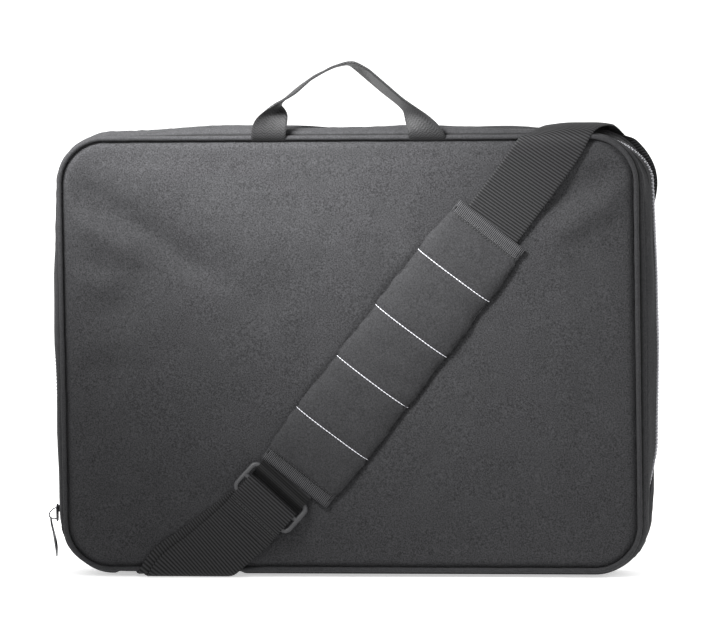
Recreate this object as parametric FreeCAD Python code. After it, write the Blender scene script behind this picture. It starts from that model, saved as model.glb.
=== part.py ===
"""Soft portfolio case with a three-sided zip, carry handle and padded shoulder strap.

Units are millimetres. +Z is up, the front panel faces -Y, z = 0 is the floor the case stands on.
"""
import FreeCAD, Part
import math
import os

from FreeCAD import Vector

# Case body
HALF_WIDTH = 240.0
PIPING_LOW = 4.0
PIPING_HIGH = 364.0
CORNER_RADIUS = 40.0
PIPING_RADIUS = 2.5
PIPING_Y = 24.0
PANEL_FACE_Y = 26.0
FABRIC = 2.0
SIDE_BULGE = 12.0
TOP_BULGE = 5.6
BOTTOM_BULGE = 5.0
GUSSET_EDGE_Y = 21.2
BASE_FLAT_Y = 17.0
GUSSET_HEM_Y = 7.0
TAPE_EDGE_Y = 3.0
TEETH_EDGE_Y = 0.7
ZIP_START_Z = 30.0

# Webbing
STRAP_WIDTH = 50.0
STRAP_THICK = 1.8
STRAP_N = 3.3
LOWER_N = 1.9
RETURN_N = 4.0
HANDLE_WIDTH = 30.0
HANDLE_THICK = 2.0
HANDLE_BASE_X = 65.0
HANDLE_BASE_TOP = 365.8

# Shoulder pad
PAD_LENGTH = 268.0
PAD_WIDTH = 72.0
PAD_TOP_X = 120.0
PAD_TOP_Z = 290.0
PAD_ANGLE = 51.8
PAD_STITCHES = (51.5, 109.3, 162.1, 216.5)

# Strap buckle
BUCKLE_X = -65.0
BUCKLE_Z = 67.0
BUCKLE_ANGLE = 47.5
BUCKLE_LENGTH = 59.0
BUCKLE_WIDTH = 31.0
WIRE_RADIUS = 2.1
BUCKLE_N = 7.4
BUCKLE_TILT = 8.5
PASS_TOP = 19.6
PASS_BOTTOM = -4.0

# Strap crossing under the base
UNDER_LOW = -196.0
UNDER_HIGH = -88.0
UNDER_Z = 4.0

# Ring on the back
RING_X = -208.0
RING_Z = 250.0
RING_N = 5.9
RING_BAR = 2.0
RING_SPAN = 14.0
RING_LENGTH = 58.0

# Zip slider
SLIDER_Z = 42.0
SLIDER_LENGTH = 15.0


def section(y, side, top, bottom, grow=0.0):
    """Rounded rectangle in the XZ plane at depth y, with its own bulge on each side."""
    half = HALF_WIDTH - 1.0 + side + grow
    low = PIPING_LOW + 1.0 - bottom - grow
    high = PIPING_HIGH - 1.0 + top + grow
    radius = CORNER_RADIUS - 1.0 + (side + top) / 2.0 + grow
    return rounded_wire(half, low, high, radius, y)


def rounded_wire(half, low, high, radius, y):
    """Closed wire of four lines and four arcs."""
    shift = radius * math.sqrt(0.5)
    centres = [
        (half - radius, low + radius, -90),
        (half - radius, high - radius, 0),
        (radius - half, high - radius, 90),
        (radius - half, low + radius, 180),
    ]
    arcs = []
    for cx, cz, start in centres:
        points = []
        for step in (0, 45, 90):
            turn = math.radians(start + step)
            points.append(Vector(cx + radius * math.cos(turn), y, cz + radius * math.sin(turn)))
        arcs.append(Part.Arc(*points).toShape())
    edges = []
    for index, arc in enumerate(arcs):
        following = arcs[(index + 1) % 4]
        edges.append(arc)
        edges.append(Part.makeLine(arc.Vertexes[-1].Point, following.Vertexes[0].Point))
    return Part.Wire(Part.__sortEdges__(edges))


def bulge_sections(grow):
    """Sections from the front seam to the back seam of the gusset."""
    profile = [
        (GUSSET_EDGE_Y, 0.0, 0.0),
        (BASE_FLAT_Y, 0.42, 1.0),
        (12.0, 0.75, 1.0),
        (GUSSET_HEM_Y, 0.93, 1.0),
        (TAPE_EDGE_Y, 1.0, 1.0),
    ]
    rows = [(-y, around, below) for y, around, below in profile]
    rows += [(y, around, below) for y, around, below in reversed(profile)]
    wires = []
    for y, around, below in rows:
        wires.append(section(y, SIDE_BULGE * around, TOP_BULGE * around, BOTTOM_BULGE * below, grow))
    return wires


def bulge_solid(grow):
    """Solid block with the outline of the gusset, grown by a distance."""
    return Part.makeLoft(bulge_sections(grow), True, True)


def box(low, high):
    """Box from one corner to the opposite one."""
    size = [high[i] - low[i] for i in range(3)]
    return Part.makeBox(size[0], size[1], size[2], Vector(*low))


def gusset_shell(outer_grow, inner_grow):
    """Bulging fabric band all round the case."""
    return bulge_solid(outer_grow).cut(bulge_solid(inner_grow))


def slab(shape, y_low, y_high, z_low, z_high):
    """The part of a shape between two depths and two heights."""
    return shape.common(box((-400, y_low, z_low), (400, y_high, z_high)))


def bottom_gusset():
    """Bottom band with both lower corners, dented where the strap passes under it."""
    outer_dent = box((UNDER_LOW, -30, -5), (UNDER_HIGH, 30, UNDER_Z))
    inner_dent = box((UNDER_LOW - FABRIC, -30, -5), (UNDER_HIGH + FABRIC, 30, UNDER_Z + FABRIC))
    outer = bulge_solid(0.0).cut(outer_dent)
    inner = bulge_solid(-FABRIC).cut(inner_dent)
    return slab(outer.cut(inner), -30, 30, -5, ZIP_START_Z)


def zip_end_tab(sign):
    """Fabric tab sewn over the end of the zip."""
    patch = slab(gusset_shell(1.2, 0.02), -9, 9, 18, ZIP_START_Z - 0.4)
    near = box((100, -20, 0), (400, 20, 60)) if sign > 0 else box((-400, -20, 0), (-100, 20, 60))
    return patch.common(near)


def panel_plate(y_low, y_high, inset):
    """Flat layer of a panel inside the piping."""
    half = HALF_WIDTH - inset
    wire = rounded_wire(half, PIPING_LOW + inset, PIPING_HIGH - inset, CORNER_RADIUS - inset, y_low)
    return Part.Face(wire).extrude(Vector(0, y_high - y_low, 0))


def piping(y):
    """Round piping along the edge of a panel."""
    inset = PIPING_RADIUS
    path = rounded_wire(
        HALF_WIDTH - inset, PIPING_LOW + inset, PIPING_HIGH - inset, CORNER_RADIUS - inset, y
    )
    start = path.Edges[0].Vertexes[0].Point
    tangent = path.Edges[0].tangentAt(path.Edges[0].FirstParameter)
    profile = Part.Wire(Part.makeCircle(PIPING_RADIUS, start, tangent))
    return path.makePipeShell([profile], True, True)


def seam_binding(sign):
    """Tape that covers the raw seam inside the case."""
    low = min(sign * 20.9, sign * 15.5)
    outer = panel_plate(low, low + 5.4, 3.6)
    inner = panel_plate(low - 1, low + 6.4, 4.6)
    return outer.cut(inner)


def station(centre, across, width, normal):
    """Cross-section of a band: its two edge points and its normal."""
    middle = Vector(*centre)
    side = Vector(*across).normalize() * (width / 2.0)
    return (middle + side, middle - side, Vector(*normal).normalize())


def edge_station(left, right, normal):
    """Cross-section given by its two edge points."""
    return (Vector(*left), Vector(*right), Vector(*normal).normalize())


def ribbon(stations, thick):
    """Band of webbing lofted through its cross-sections."""
    wires = []
    for left, right, normal in stations:
        half = normal * (thick / 2.0)
        wires.append(Part.makePolygon([left + half, right + half, right - half, left - half, left + half]))
    return Part.makeLoft(wires, True, True)


def front_frame(x, z, angle):
    """Frame on the front face: X along the strap, Y across it, Z away from the panel."""
    turn = math.radians(angle)
    along = Vector(math.cos(turn), 0, math.sin(turn))
    out = Vector(0, -1, 0)
    across = out.cross(along)
    matrix = FreeCAD.Matrix(
        along.x, across.x, out.x, x,
        along.y, across.y, out.y, -PANEL_FACE_Y,
        along.z, across.z, out.z, z,
        0, 0, 0, 1,
    )
    return FreeCAD.Placement(matrix)


def placed(shape, placement):
    """Copy of a shape moved into a frame."""
    copy = shape.copy()
    copy.Placement = placement.multiply(copy.Placement)
    return copy


def pad_frame():
    """Frame with its origin in the middle of the pad's upper end."""
    return front_frame(PAD_TOP_X, PAD_TOP_Z, PAD_ANGLE)


def pad_block(start, end, half_width, n_low, n_high):
    """Block in the pad's frame, measured down from its upper end."""
    return box((-end, -half_width, n_low), (-start, half_width, n_high))


def pad_cover():
    """Padded face of the shoulder pad, hollow for its foam."""
    outer = pad_block(0, PAD_LENGTH, PAD_WIDTH / 2.0, 4.6, 11.6)
    long_edges = [e for e in outer.Edges if abs(e.Length - PAD_LENGTH) < 0.1 and e.CenterOfMass.z > 10]
    outer = outer.makeFillet(4.0, long_edges)
    core = pad_block(3, PAD_LENGTH - 3, PAD_WIDTH / 2.0 - 3.0, 5.6, 10.4)
    return placed(outer.cut(core), pad_frame())


def pad_foam():
    """Foam core of the shoulder pad."""
    return placed(pad_block(3, PAD_LENGTH - 3, PAD_WIDTH / 2.0 - 3.0, 5.6, 10.4), pad_frame())


def pad_backing():
    """Fabric under the webbing, which makes the tunnel the strap runs in."""
    return placed(pad_block(0, PAD_LENGTH, PAD_WIDTH / 2.0, 1.2, 2.1), pad_frame())


def pad_side_seams():
    """Edges where the cover and the backing are sewn together."""
    half = PAD_WIDTH / 2.0
    upper = box((-PAD_LENGTH, half - 3.0, 2.1), (0, half, 4.6))
    lower = box((-PAD_LENGTH, -half, 2.1), (0, 3.0 - half, 4.6))
    return placed(Part.makeCompound([upper, lower]), pad_frame())


def pad_hem(start):
    """Flat bound strip over one end of the pad."""
    strip = pad_block(start, start + 9.5, PAD_WIDTH / 2.0 - 4.5, 11.6, 12.4)
    return placed(strip, pad_frame())


def pad_stitching():
    """Rows of stitching across the pad."""
    rows = []
    for start in PAD_STITCHES:
        rows.append(pad_block(start - 0.5, start + 0.5, PAD_WIDTH / 2.0 - 4.5, 11.6, 12.0))
    return placed(Part.makeCompound(rows), pad_frame())


def across_at(angle):
    """Direction across the front strap for a run at the given angle."""
    turn = math.radians(angle)
    return (-math.sin(turn), 0, math.cos(turn))


def along_front(distance, aside=0.0):
    """Point below the buckle's centre along the strap, moved aside to the lower right."""
    turn = math.radians(BUCKLE_ANGLE)
    x = BUCKLE_X - distance * math.cos(turn) + aside * math.sin(turn)
    z = BUCKLE_Z - distance * math.sin(turn) - aside * math.cos(turn)
    return (x, z)


def strap_front_upper():
    """Webbing from the top edge through the pad to just above the buckle."""
    y = -PANEL_FACE_Y - STRAP_N
    front = (0, -1, 0)
    above_pad = along_front(-60, 0.0)
    end = along_front(-PASS_TOP - 0.4, 1.0)
    rows = [
        edge_station((141.5, y, 360), (203.5, y, 358), front),
        station((131, y, 306), across_at(54.5), STRAP_WIDTH, front),
        station((PAD_TOP_X, y, PAD_TOP_Z), across_at(PAD_ANGLE), STRAP_WIDTH, front),
        station((above_pad[0], y, above_pad[1]), across_at(PAD_ANGLE), STRAP_WIDTH, front),
        station((end[0], y, end[1]), across_at(BUCKLE_ANGLE), STRAP_WIDTH, front),
    ]
    return ribbon(rows, STRAP_THICK)


def strap_buckle_pass():
    """Webbing rising over the buckle's upper bar and diving under its middle bar."""
    path = [
        (PASS_TOP, STRAP_N, 0, 1),
        (PASS_TOP - 1.0, STRAP_N + 0.3, -0.2, 1),
        (15.6, 8.4, -0.5, 1),
        (13.2, 8.9, 0, 1),
        (10.4, 8.1, 0.8, 1),
        (6.2, 3.0, 0.8, 1),
        (4.2, LOWER_N, 0.2, 1),
        (PASS_BOTTOM, LOWER_N, 0, 1),
    ]
    rows = [local_station(*point) for point in path]
    return placed(ribbon(rows, STRAP_THICK), front_frame(BUCKLE_X, BUCKLE_Z, BUCKLE_ANGLE))


def strap_front_lower():
    """Inner layer of webbing from the buckle down to the base."""
    y = -PANEL_FACE_Y - LOWER_N
    front = (0, -1, 0)
    top = along_front(0.4 - PASS_BOTTOM)
    below = along_front(38)
    rows = [
        station((top[0], y, top[1]), across_at(BUCKLE_ANGLE), STRAP_WIDTH, front),
        station((below[0] - 3, y, below[1] + 1), across_at(46.0), STRAP_WIDTH, front),
        edge_station((-153, y, 23.6), (-97, y, 17.0), front),
        edge_station((-178, y, 10.3), (-107, y, 10.3), front),
    ]
    return ribbon(rows, STRAP_THICK)


def strap_return():
    """Outer layer of webbing from the sewn end down to the base."""
    y = -PANEL_FACE_Y - RETURN_N
    front = (0, -1, 0)
    top = along_front(38.4)
    rows = [
        station((top[0], y, top[1]), across_at(BUCKLE_ANGLE), STRAP_WIDTH, front),
        edge_station((-136, y, 34.6), (-78, y, 18.0), front),
        edge_station((-161, y, 10.3), (-91, y, 10.3), front),
    ]
    return ribbon(rows, STRAP_THICK)


def front_fold(path, left, right, shift):
    """Webbing turning under the front edge of the base."""
    rows = []
    for index, (y, z, normal) in enumerate(path):
        move = shift * index / (len(path) - 1.0)
        rows.append(edge_station((left + move, y, z), (right + move, y, z), normal))
    return ribbon(rows, STRAP_THICK)


def strap_fold_inner():
    """Front fold of the layer next to the case."""
    path = [
        (-27.9, 9.9, (0, -1, 0)),
        (-27.9, 6.2, (0, -1, -0.1)),
        (-27.3, 3.7, (0, -1, -1)),
        (-24.6, 2.8, (0, -0.2, -1)),
        (-20.1, 2.8, (0, 0, -1)),
    ]
    return front_fold(path, -178, -107, -7)


def strap_fold_outer():
    """Front fold of the outer layer."""
    path = [
        (-30.0, 9.9, (0, -1, 0)),
        (-30.0, 5.0, (0, -1, -0.1)),
        (-28.5, 2.1, (0, -1, -1)),
        (-25.2, 0.95, (0, -0.2, -1)),
        (-20.1, 0.95, (0, 0, -1)),
    ]
    return front_fold(path, -161, -91, -7)


def strap_over_top():
    """Webbing from the front over the top edge to the back."""
    rows = [
        edge_station((141.5, -29.3, 360.4), (203.5, -29.3, 358.4), (0, -1, 0)),
        edge_station((144, -29.0, 364.4), (206, -28.6, 362.0), (0, -1, 0.25)),
        edge_station((146, -26.0, 367.3), (208, -25.8, 366.4), (0, -1, 1.2)),
        edge_station((149, -14.0, 370.2), (211, -14.0, 369.2), (0, -0.3, 1)),
        edge_station((153, 0.0, 371.5), (215, 0.0, 371.0), (0, 0, 1)),
        edge_station((157, 14.0, 370.2), (219, 14.0, 368.8), (0, 0.3, 1)),
        edge_station((160, 26.0, 367.3), (221.5, 26.5, 365.6), (0, 1, 1.2)),
        edge_station((161, 28.6, 364.4), (223.5, 28.9, 361.4), (0.1, 1, 0.25)),
        edge_station((163, 28.9, 360.0), (224, 28.9, 355.5), (0, 1, 0)),
    ]
    return ribbon(rows, STRAP_THICK)


def strap_back_right():
    """Webbing down the back to the seam it is sewn into."""
    y = PANEL_FACE_Y + 2.9
    back = (0, 1, 0)
    rows = [
        edge_station((163.2, y, 359.6), (224.2, y, 355.1), back),
        edge_station((178, y, 333), (234, y, 343), back),
        edge_station((193, y, 309), (241, y, 331), back),
        edge_station((211, y - 0.4, 279), (242.5, y - 0.4, 313), back),
        edge_station((236, y - 0.9, 250), (240, y - 0.9, 300), back),
    ]
    return ribbon(rows, STRAP_THICK)


def back_point(distance, sideways, out):
    """Point on the back-left strap run, measured down from the ring."""
    turn = math.radians(101.5)
    x = RING_X + distance * -math.cos(turn) + sideways * math.sin(turn)
    z = RING_Z - distance * math.sin(turn) + sideways * math.cos(turn) * -1.0
    return (x, PANEL_FACE_Y + out, z)


def back_station(distance, out, normal):
    """Cross-section of the back-left strap run."""
    half = STRAP_WIDTH / 2.0
    return edge_station(back_point(distance, -half, out), back_point(distance, half, out), normal)


def under_station(y, z, centre, width, normal):
    """Cross-section of the strap where it passes round the base."""
    return edge_station((centre - width / 2.0, y, z), (centre + width / 2.0, y, z), normal)


def strap_back_inner():
    """Inner layer from under the base up the back to the ring."""
    down = (0, 0, -1)
    back = (0, 1, 0)
    rows = [
        under_station(-19.8, 2.8, -149.5, 71, down),
        under_station(0, 2.8, -152, 62, down),
        under_station(20, 2.8, -160, 52, down),
        under_station(24.8, 2.8, -162, 51, (0, 0.2, -1)),
        under_station(27.2, 3.9, -163, 51, (0, 1, -1)),
        under_station(28.1, 6.5, -164, 51, (0, 1, -0.1)),
        back_station(230, 2.2, back),
        back_station(20, 2.2, back),
        back_station(9.6, RING_N - 3.1, back),
    ]
    return ribbon(rows, STRAP_THICK)


def strap_back_outer():
    """Outer layer from under the base up the back and round the ring's lower bar."""
    down = (0, 0, -1)
    back = (0, 1, 0)
    rows = [
        under_station(-19.8, 0.95, -133, 70, down),
        under_station(0, 0.95, -145, 62, down),
        under_station(20, 0.95, -157, 52, down),
        under_station(25.4, 0.95, -162, 51, (0, 0.2, -1)),
        under_station(28.8, 2.2, -163, 51, (0, 1, -1)),
        under_station(30.2, 6.0, -164, 51, (0, 1, -0.1)),
        back_station(230, 4.2, back),
        back_station(26, 4.2, back),
        back_station(10, RING_N + 3.1, back),
    ]
    for angle in (90, 60, 30, 0, -30, -60, -90):
        turn = math.radians(angle)
        drop = RING_SPAN / 2.0 - 3.1 * math.cos(turn)
        out = RING_N + 3.1 * math.sin(turn)
        normal = ring_normal(math.cos(turn), math.sin(turn))
        rows.append(back_station(drop, out, normal))
    rows.append(back_station(9.3, RING_N - 3.1, (0, -1, 0)))
    return ribbon(rows, STRAP_THICK)


def ring_normal(up, out):
    """Normal of the webbing where it turns round the ring's bar."""
    turn = math.radians(101.5)
    return (up * math.cos(turn), out, up * math.sin(turn))


def strap_ring():
    """Rectangular wire ring that joins the strap to its tab."""
    half_long = RING_LENGTH / 2.0 - RING_BAR
    half_short = RING_SPAN / 2.0
    corners = [
        (-half_long, -half_short),
        (half_long, -half_short),
        (half_long, half_short),
        (-half_long, half_short),
    ]
    pieces = []
    for index, corner in enumerate(corners):
        following = corners[(index + 1) % 4]
        start = Vector(*back_point(corner[1], corner[0], RING_N))
        end = Vector(*back_point(following[1], following[0], RING_N))
        direction = end - start
        pieces.append(Part.makeCylinder(RING_BAR, direction.Length, start, direction))
        pieces.append(Part.makeSphere(RING_BAR, start))
    return pieces[0].multiFuse(pieces[1:]).removeSplitter()


def strap_tab_left():
    """Webbing tab round the ring's upper bar, sewn flat on the back panel."""
    rows = [back_station(-46, 1.4, (0, 1, 0)), back_station(-20, 1.4, (0, 1, 0))]
    rows.append(back_station(-10, RING_N - 3.1, (0, 1, 0)))
    for angle in (-90, -60, -30, 0, 30, 60, 90):
        turn = math.radians(angle)
        drop = -RING_SPAN / 2.0 + 3.1 * math.cos(turn)
        out = RING_N + 3.1 * math.sin(turn)
        normal = ring_normal(-math.cos(turn), math.sin(turn))
        rows.append(back_station(drop, out, (-normal[0], -normal[1], -normal[2])))
    rows.append(back_station(-11, RING_N + 2.6, (0, -1, 0)))
    rows.append(back_station(-22, 3.3, (0, -1, 0)))
    rows.append(back_station(-46, 3.3, (0, -1, 0)))
    return ribbon(rows, STRAP_THICK)


def strap_buckle():
    """Wire buckle with two slots."""
    half_long = BUCKLE_LENGTH / 2.0 - WIRE_RADIUS
    half_short = BUCKLE_WIDTH / 2.0 - WIRE_RADIUS
    corners = [
        (-half_short, -half_long),
        (half_short, -half_long),
        (half_short, half_long),
        (-half_short, half_long),
    ]
    pieces = []
    for index, corner in enumerate(corners):
        following = corners[(index + 1) % 4]
        start = Vector(corner[0], corner[1], 0)
        direction = Vector(following[0], following[1], 0) - start
        pieces.append(Part.makeCylinder(WIRE_RADIUS, direction.Length, start, direction))
        pieces.append(Part.makeSphere(WIRE_RADIUS, start))
    pieces.append(Part.makeCylinder(WIRE_RADIUS, half_long * 2, Vector(0, -half_long, 0), Vector(0, 1, 0)))
    frame = pieces[0].multiFuse(pieces[1:]).removeSplitter()
    frame.rotate(Vector(0, 0, 0), Vector(0, 1, 0), BUCKLE_TILT)
    frame.translate(Vector(0, 0, BUCKLE_N))
    return placed(frame, front_frame(BUCKLE_X, BUCKLE_Z, BUCKLE_ANGLE))


def strap_sewn_end():
    """End of the webbing, turned round the buckle's middle bar and sewn down."""
    reach = WIRE_RADIUS + 0.1 + STRAP_THICK / 2.0
    rows = [
        local_station(-37.6, 4.0, 0, 1),
        local_station(-24, 4.0, 0, 1),
        local_station(-8, 4.1, 0, 1),
    ]
    for angle in (-90, -60, -30, 0, 30, 60, 90):
        turn = math.radians(angle)
        normal = (-math.cos(turn), -math.sin(turn))
        rows.append(local_station(reach * math.cos(turn), BUCKLE_N + reach * math.sin(turn), *normal))
    rows.append(local_station(-6.0, BUCKLE_N + 4.1, 0.2, -1))
    rows.append(local_station(-13.2, BUCKLE_N + 5.2, 0, -1))
    rows.append(local_station(-19.0, BUCKLE_N + 2.9, -0.5, -1))
    rows.append(local_station(-26.0, 6.0, -0.2, -1))
    rows.append(local_station(-37.6, 5.9, 0, -1))
    band = ribbon(rows, STRAP_THICK)
    return placed(band, front_frame(BUCKLE_X, BUCKLE_Z, BUCKLE_ANGLE))


def local_station(along, out, normal_along, normal_out):
    """Cross-section in the buckle's frame."""
    half = STRAP_WIDTH / 2.0
    return edge_station((along, half, out), (along, -half, out), (normal_along, 0, normal_out))


def handle_base(sign):
    """End of the handle webbing, sewn behind the piping and lying over it."""
    x = sign * HANDLE_BASE_X
    rows = [
        station((x, -27.2, 356.5), (1, 0, 0), HANDLE_WIDTH, (0, -1, 0)),
        station((x, -28.2, 359.5), (1, 0, 0), HANDLE_WIDTH, (0, -1, 0.1)),
        station((x, -28.2, HANDLE_BASE_TOP), (1, 0, 0), HANDLE_WIDTH, (0, -1, 0)),
    ]
    return ribbon(rows, HANDLE_THICK)


def handle_bases():
    """Both sewn ends of the carry handle."""
    return Part.makeCompound([handle_base(-1), handle_base(1)])


def handle_loop():
    """Free part of the carry handle, standing in a peak with its webbing turned edge-on."""
    half = [
        (-65, -28.2, 367.6, 180),
        (-64.5, -28.0, 373, 184),
        (-61, -26.5, 382, 202),
        (-52, -23.5, 391.5, 232),
        (-38, -20.5, 402.5, 255),
        (-20, -18.5, 415, 266),
        (-5, -17.8, 424.2, 270),
    ]
    rows = []
    mirrored = [(-x, y, z, 540 - turn) for x, y, z, turn in reversed(half)]
    peak = [(3, -17.8, 425.6, 270)]
    path = half + peak + [(x + 3, y, z, turn) if x < 40 else (x, y, z, turn) for x, y, z, turn in mirrored]
    for index, (x, y, z, turn) in enumerate(path):
        before = Vector(*path[max(index - 1, 0)][:3])
        after = Vector(*path[min(index + 1, len(path) - 1)][:3])
        across = Vector(math.cos(math.radians(turn)), math.sin(math.radians(turn)), 0)
        normal = (after - before).cross(across)
        rows.append(station((x, y, z), tuple(across), HANDLE_WIDTH, tuple(normal)))
    return ribbon(rows, HANDLE_THICK)


def slider_body():
    """Zip slider: two plates joined by a thin post between the teeth."""
    outer_x = -(HALF_WIDTH - 1.0 + SIDE_BULGE)
    top = SLIDER_Z + SLIDER_LENGTH
    front = box((outer_x - 3.4, -5.0, SLIDER_Z), (outer_x - 1.8, 5.0, top))
    back = box((outer_x + 2.6, -5.0, SLIDER_Z), (outer_x + 4.0, 5.0, top))
    post = box((outer_x - 1.8, -0.35, top - 6.0), (outer_x + 2.6, 0.35, top - 1.0))
    lug_low = box((outer_x - 6.6, -2.2, SLIDER_Z + 2.0), (outer_x - 3.4, -1.2, SLIDER_Z + 7.0))
    lug_high = box((outer_x - 6.6, 1.2, SLIDER_Z + 2.0), (outer_x - 3.4, 2.2, SLIDER_Z + 7.0))
    return front.multiFuse([back, post, lug_low, lug_high])


def pull_tab():
    """Pull tab hanging from the slider."""
    x = -(HALF_WIDTH - 1.0 + SIDE_BULGE) - 5.2
    neck = box((x - 0.6, -0.9, SLIDER_Z - 3.0), (x + 0.6, 0.9, SLIDER_Z + 5.2))
    plate = box((x - 0.8, -3.6, SLIDER_Z - 30.0), (x + 0.8, 3.6, SLIDER_Z - 3.0))
    return neck.fuse(plate)


def zip_teeth(sign):
    """Row of teeth along one side of the zip."""
    return gusset_slice(sign, TEETH_EDGE_Y, TAPE_EDGE_Y - 0.02, 0.8, -1.2)


def gusset_slice(sign, near, far, outer_grow, inner_grow):
    """Three-sided band between two depths on the front or back half."""
    low = min(sign * near, sign * far)
    high = max(sign * near, sign * far)
    return slab(gusset_shell(outer_grow, inner_grow), low, high, ZIP_START_Z + 0.4, 500)


def front_nodes():
    """Nodes that swing open with the front panel."""
    return {
        "front_panel": panel_plate(-PANEL_FACE_Y, -PANEL_FACE_Y + 2.0, 5.1),
        "front_foam": panel_plate(-PANEL_FACE_Y + 2.0, -PANEL_FACE_Y + 5.5, 5.6),
        "front_lining": panel_plate(-PANEL_FACE_Y + 5.5, -PANEL_FACE_Y + 6.3, 5.6),
        "front_piping": piping(-PIPING_Y),
        "front_seam_binding": seam_binding(-1),
        "front_gusset": gusset_slice(-1, GUSSET_HEM_Y, GUSSET_EDGE_Y, 0.0, -FABRIC),
        "front_zip_tape": gusset_slice(-1, TAPE_EDGE_Y, GUSSET_HEM_Y - 0.02, -0.4, -1.4),
        "front_zip_teeth": zip_teeth(-1),
        "handle_bases": handle_bases(),
        "strap_front_run": strap_front_upper(),
        "strap_buckle_pass": strap_buckle_pass(),
        "strap_front_lower": strap_front_lower(),
    }


def back_nodes():
    """Nodes of the back shell, which carries everything else."""
    return {
        "back_panel": panel_plate(PANEL_FACE_Y - 2.0, PANEL_FACE_Y, 5.1),
        "back_board": panel_plate(PANEL_FACE_Y - 4.0, PANEL_FACE_Y - 2.0, 5.6),
        "back_foam": panel_plate(PANEL_FACE_Y - 6.0, PANEL_FACE_Y - 4.0, 5.6),
        "back_lining": panel_plate(PANEL_FACE_Y - 6.8, PANEL_FACE_Y - 6.0, 5.6),
        "back_piping": piping(PIPING_Y),
        "back_seam_binding": seam_binding(1),
        "back_gusset": gusset_slice(1, GUSSET_HEM_Y, GUSSET_EDGE_Y, 0.0, -FABRIC),
        "back_zip_tape": gusset_slice(1, TAPE_EDGE_Y, GUSSET_HEM_Y - 0.02, -0.4, -1.4),
        "back_zip_teeth": zip_teeth(1),
        "bottom_gusset": bottom_gusset(),
        "zip_end_tab_left": zip_end_tab(-1),
        "zip_end_tab_right": zip_end_tab(1),
        "strap_over_top": strap_over_top(),
        "strap_back_right": strap_back_right(),
        "strap_fold_inner": strap_fold_inner(),
        "strap_fold_outer": strap_fold_outer(),
        "strap_back_inner": strap_back_inner(),
        "strap_back_outer": strap_back_outer(),
        "strap_ring": strap_ring(),
        "strap_tab_left": strap_tab_left(),
    }


def moving_nodes():
    """Handle, pad, buckle and zip slider."""
    return {
        "handle_loop": handle_loop(),
        "pad_cover": pad_cover(),
        "pad_foam": pad_foam(),
        "pad_backing": pad_backing(),
        "pad_side_seams": pad_side_seams(),
        "pad_hem_upper": pad_hem(0.5),
        "pad_hem_lower": pad_hem(PAD_LENGTH - 10.0),
        "pad_stitching": pad_stitching(),
        "strap_buckle": strap_buckle(),
        "strap_sewn_end": strap_sewn_end(),
        "strap_return": strap_return(),
        "slider_body": slider_body(),
        "pull_tab": pull_tab(),
    }


def main():
    """Write every node to its own file."""
    os.makedirs("parts", exist_ok=True)
    nodes = {}
    nodes.update(front_nodes())
    nodes.update(back_nodes())
    nodes.update(moving_nodes())
    for name, shape in nodes.items():
        shape.exportStep("parts/" + name + ".step")


main()
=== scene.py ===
"""Looks of the portfolio case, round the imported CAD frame. Lengths are millimetres until a mesh is made."""
import math

import bmesh
import bpy
import numpy as np
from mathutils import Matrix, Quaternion, Vector
from mathutils.bvhtree import BVHTree


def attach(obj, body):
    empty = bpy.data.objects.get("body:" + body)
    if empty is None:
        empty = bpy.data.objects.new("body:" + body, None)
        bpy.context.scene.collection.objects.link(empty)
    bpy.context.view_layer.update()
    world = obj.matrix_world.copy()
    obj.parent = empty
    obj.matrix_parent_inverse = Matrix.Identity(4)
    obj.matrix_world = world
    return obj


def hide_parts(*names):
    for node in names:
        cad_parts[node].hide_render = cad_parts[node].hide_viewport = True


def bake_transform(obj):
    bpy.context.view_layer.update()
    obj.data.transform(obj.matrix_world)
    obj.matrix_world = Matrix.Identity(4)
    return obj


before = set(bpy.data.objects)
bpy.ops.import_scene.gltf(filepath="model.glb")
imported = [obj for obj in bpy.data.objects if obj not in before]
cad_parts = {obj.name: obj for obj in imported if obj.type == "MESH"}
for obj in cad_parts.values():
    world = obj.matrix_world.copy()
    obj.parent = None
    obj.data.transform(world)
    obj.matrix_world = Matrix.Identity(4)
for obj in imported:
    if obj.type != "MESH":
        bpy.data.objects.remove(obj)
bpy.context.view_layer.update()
MM = 0.001
TAU = 2.0 * math.pi


# ---------------------------------------------------------------- small maths


def smooth(a, b, x):
    """0 below a, 1 above b, smooth in between."""
    t = np.clip((np.asarray(x, float) - a) / (b - a), 0.0, 1.0)
    return t * t * (3.0 - 2.0 * t)


def bump(x, width):
    """Bell curve of height 1."""
    return np.exp(-((np.asarray(x, float) / width) ** 2))


def ripple(x, z, size, seed, count=14):
    """Soft repeatable unevenness with features of about the given size, from -1 to 1."""
    draw = np.random.default_rng(seed)
    total = 0.0
    for _ in range(count):
        turn = draw.uniform(0, TAU)
        wave = TAU / (size * draw.uniform(0.7, 1.6))
        total = total + np.cos(wave * (x * math.cos(turn) + z * math.sin(turn)) + draw.uniform(0, TAU))
    return total / math.sqrt(count)


def lengths_along(points):
    """Distance of each point from the first, measured along their line."""
    steps = np.linalg.norm(np.diff(points, axis=0), axis=1)
    return np.concatenate([[0], np.cumsum(steps)])


def read_at(places, marks, track):
    """The columns of a track at given places along its marks."""
    return np.stack([np.interp(places, marks, column) for column in track.T], -1)


def unit_rows(rows):
    """Rows of vectors brought to length 1."""
    return rows / np.linalg.norm(rows, axis=1)[:, None]


def around(count):
    """Even angles round a full turn."""
    return np.linspace(0, TAU, count + 1)[:-1]


def run(a, b, step):
    """Even distances from a to b, close to the given step."""
    return np.linspace(a, b, max(2, int(round((b - a) / step)) + 1))


# ---------------------------------------------------------------- meshes


def rings_of(lines):
    """Rings round a tube from the lines that run along it."""
    return np.array(lines).transpose(1, 0, 2)


def uv_grid(along, across):
    """Cloth coordinates in metres for a grid of places in millimetres."""
    return np.stack(np.meshgrid(along * MM, across * MM), -1)


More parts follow.
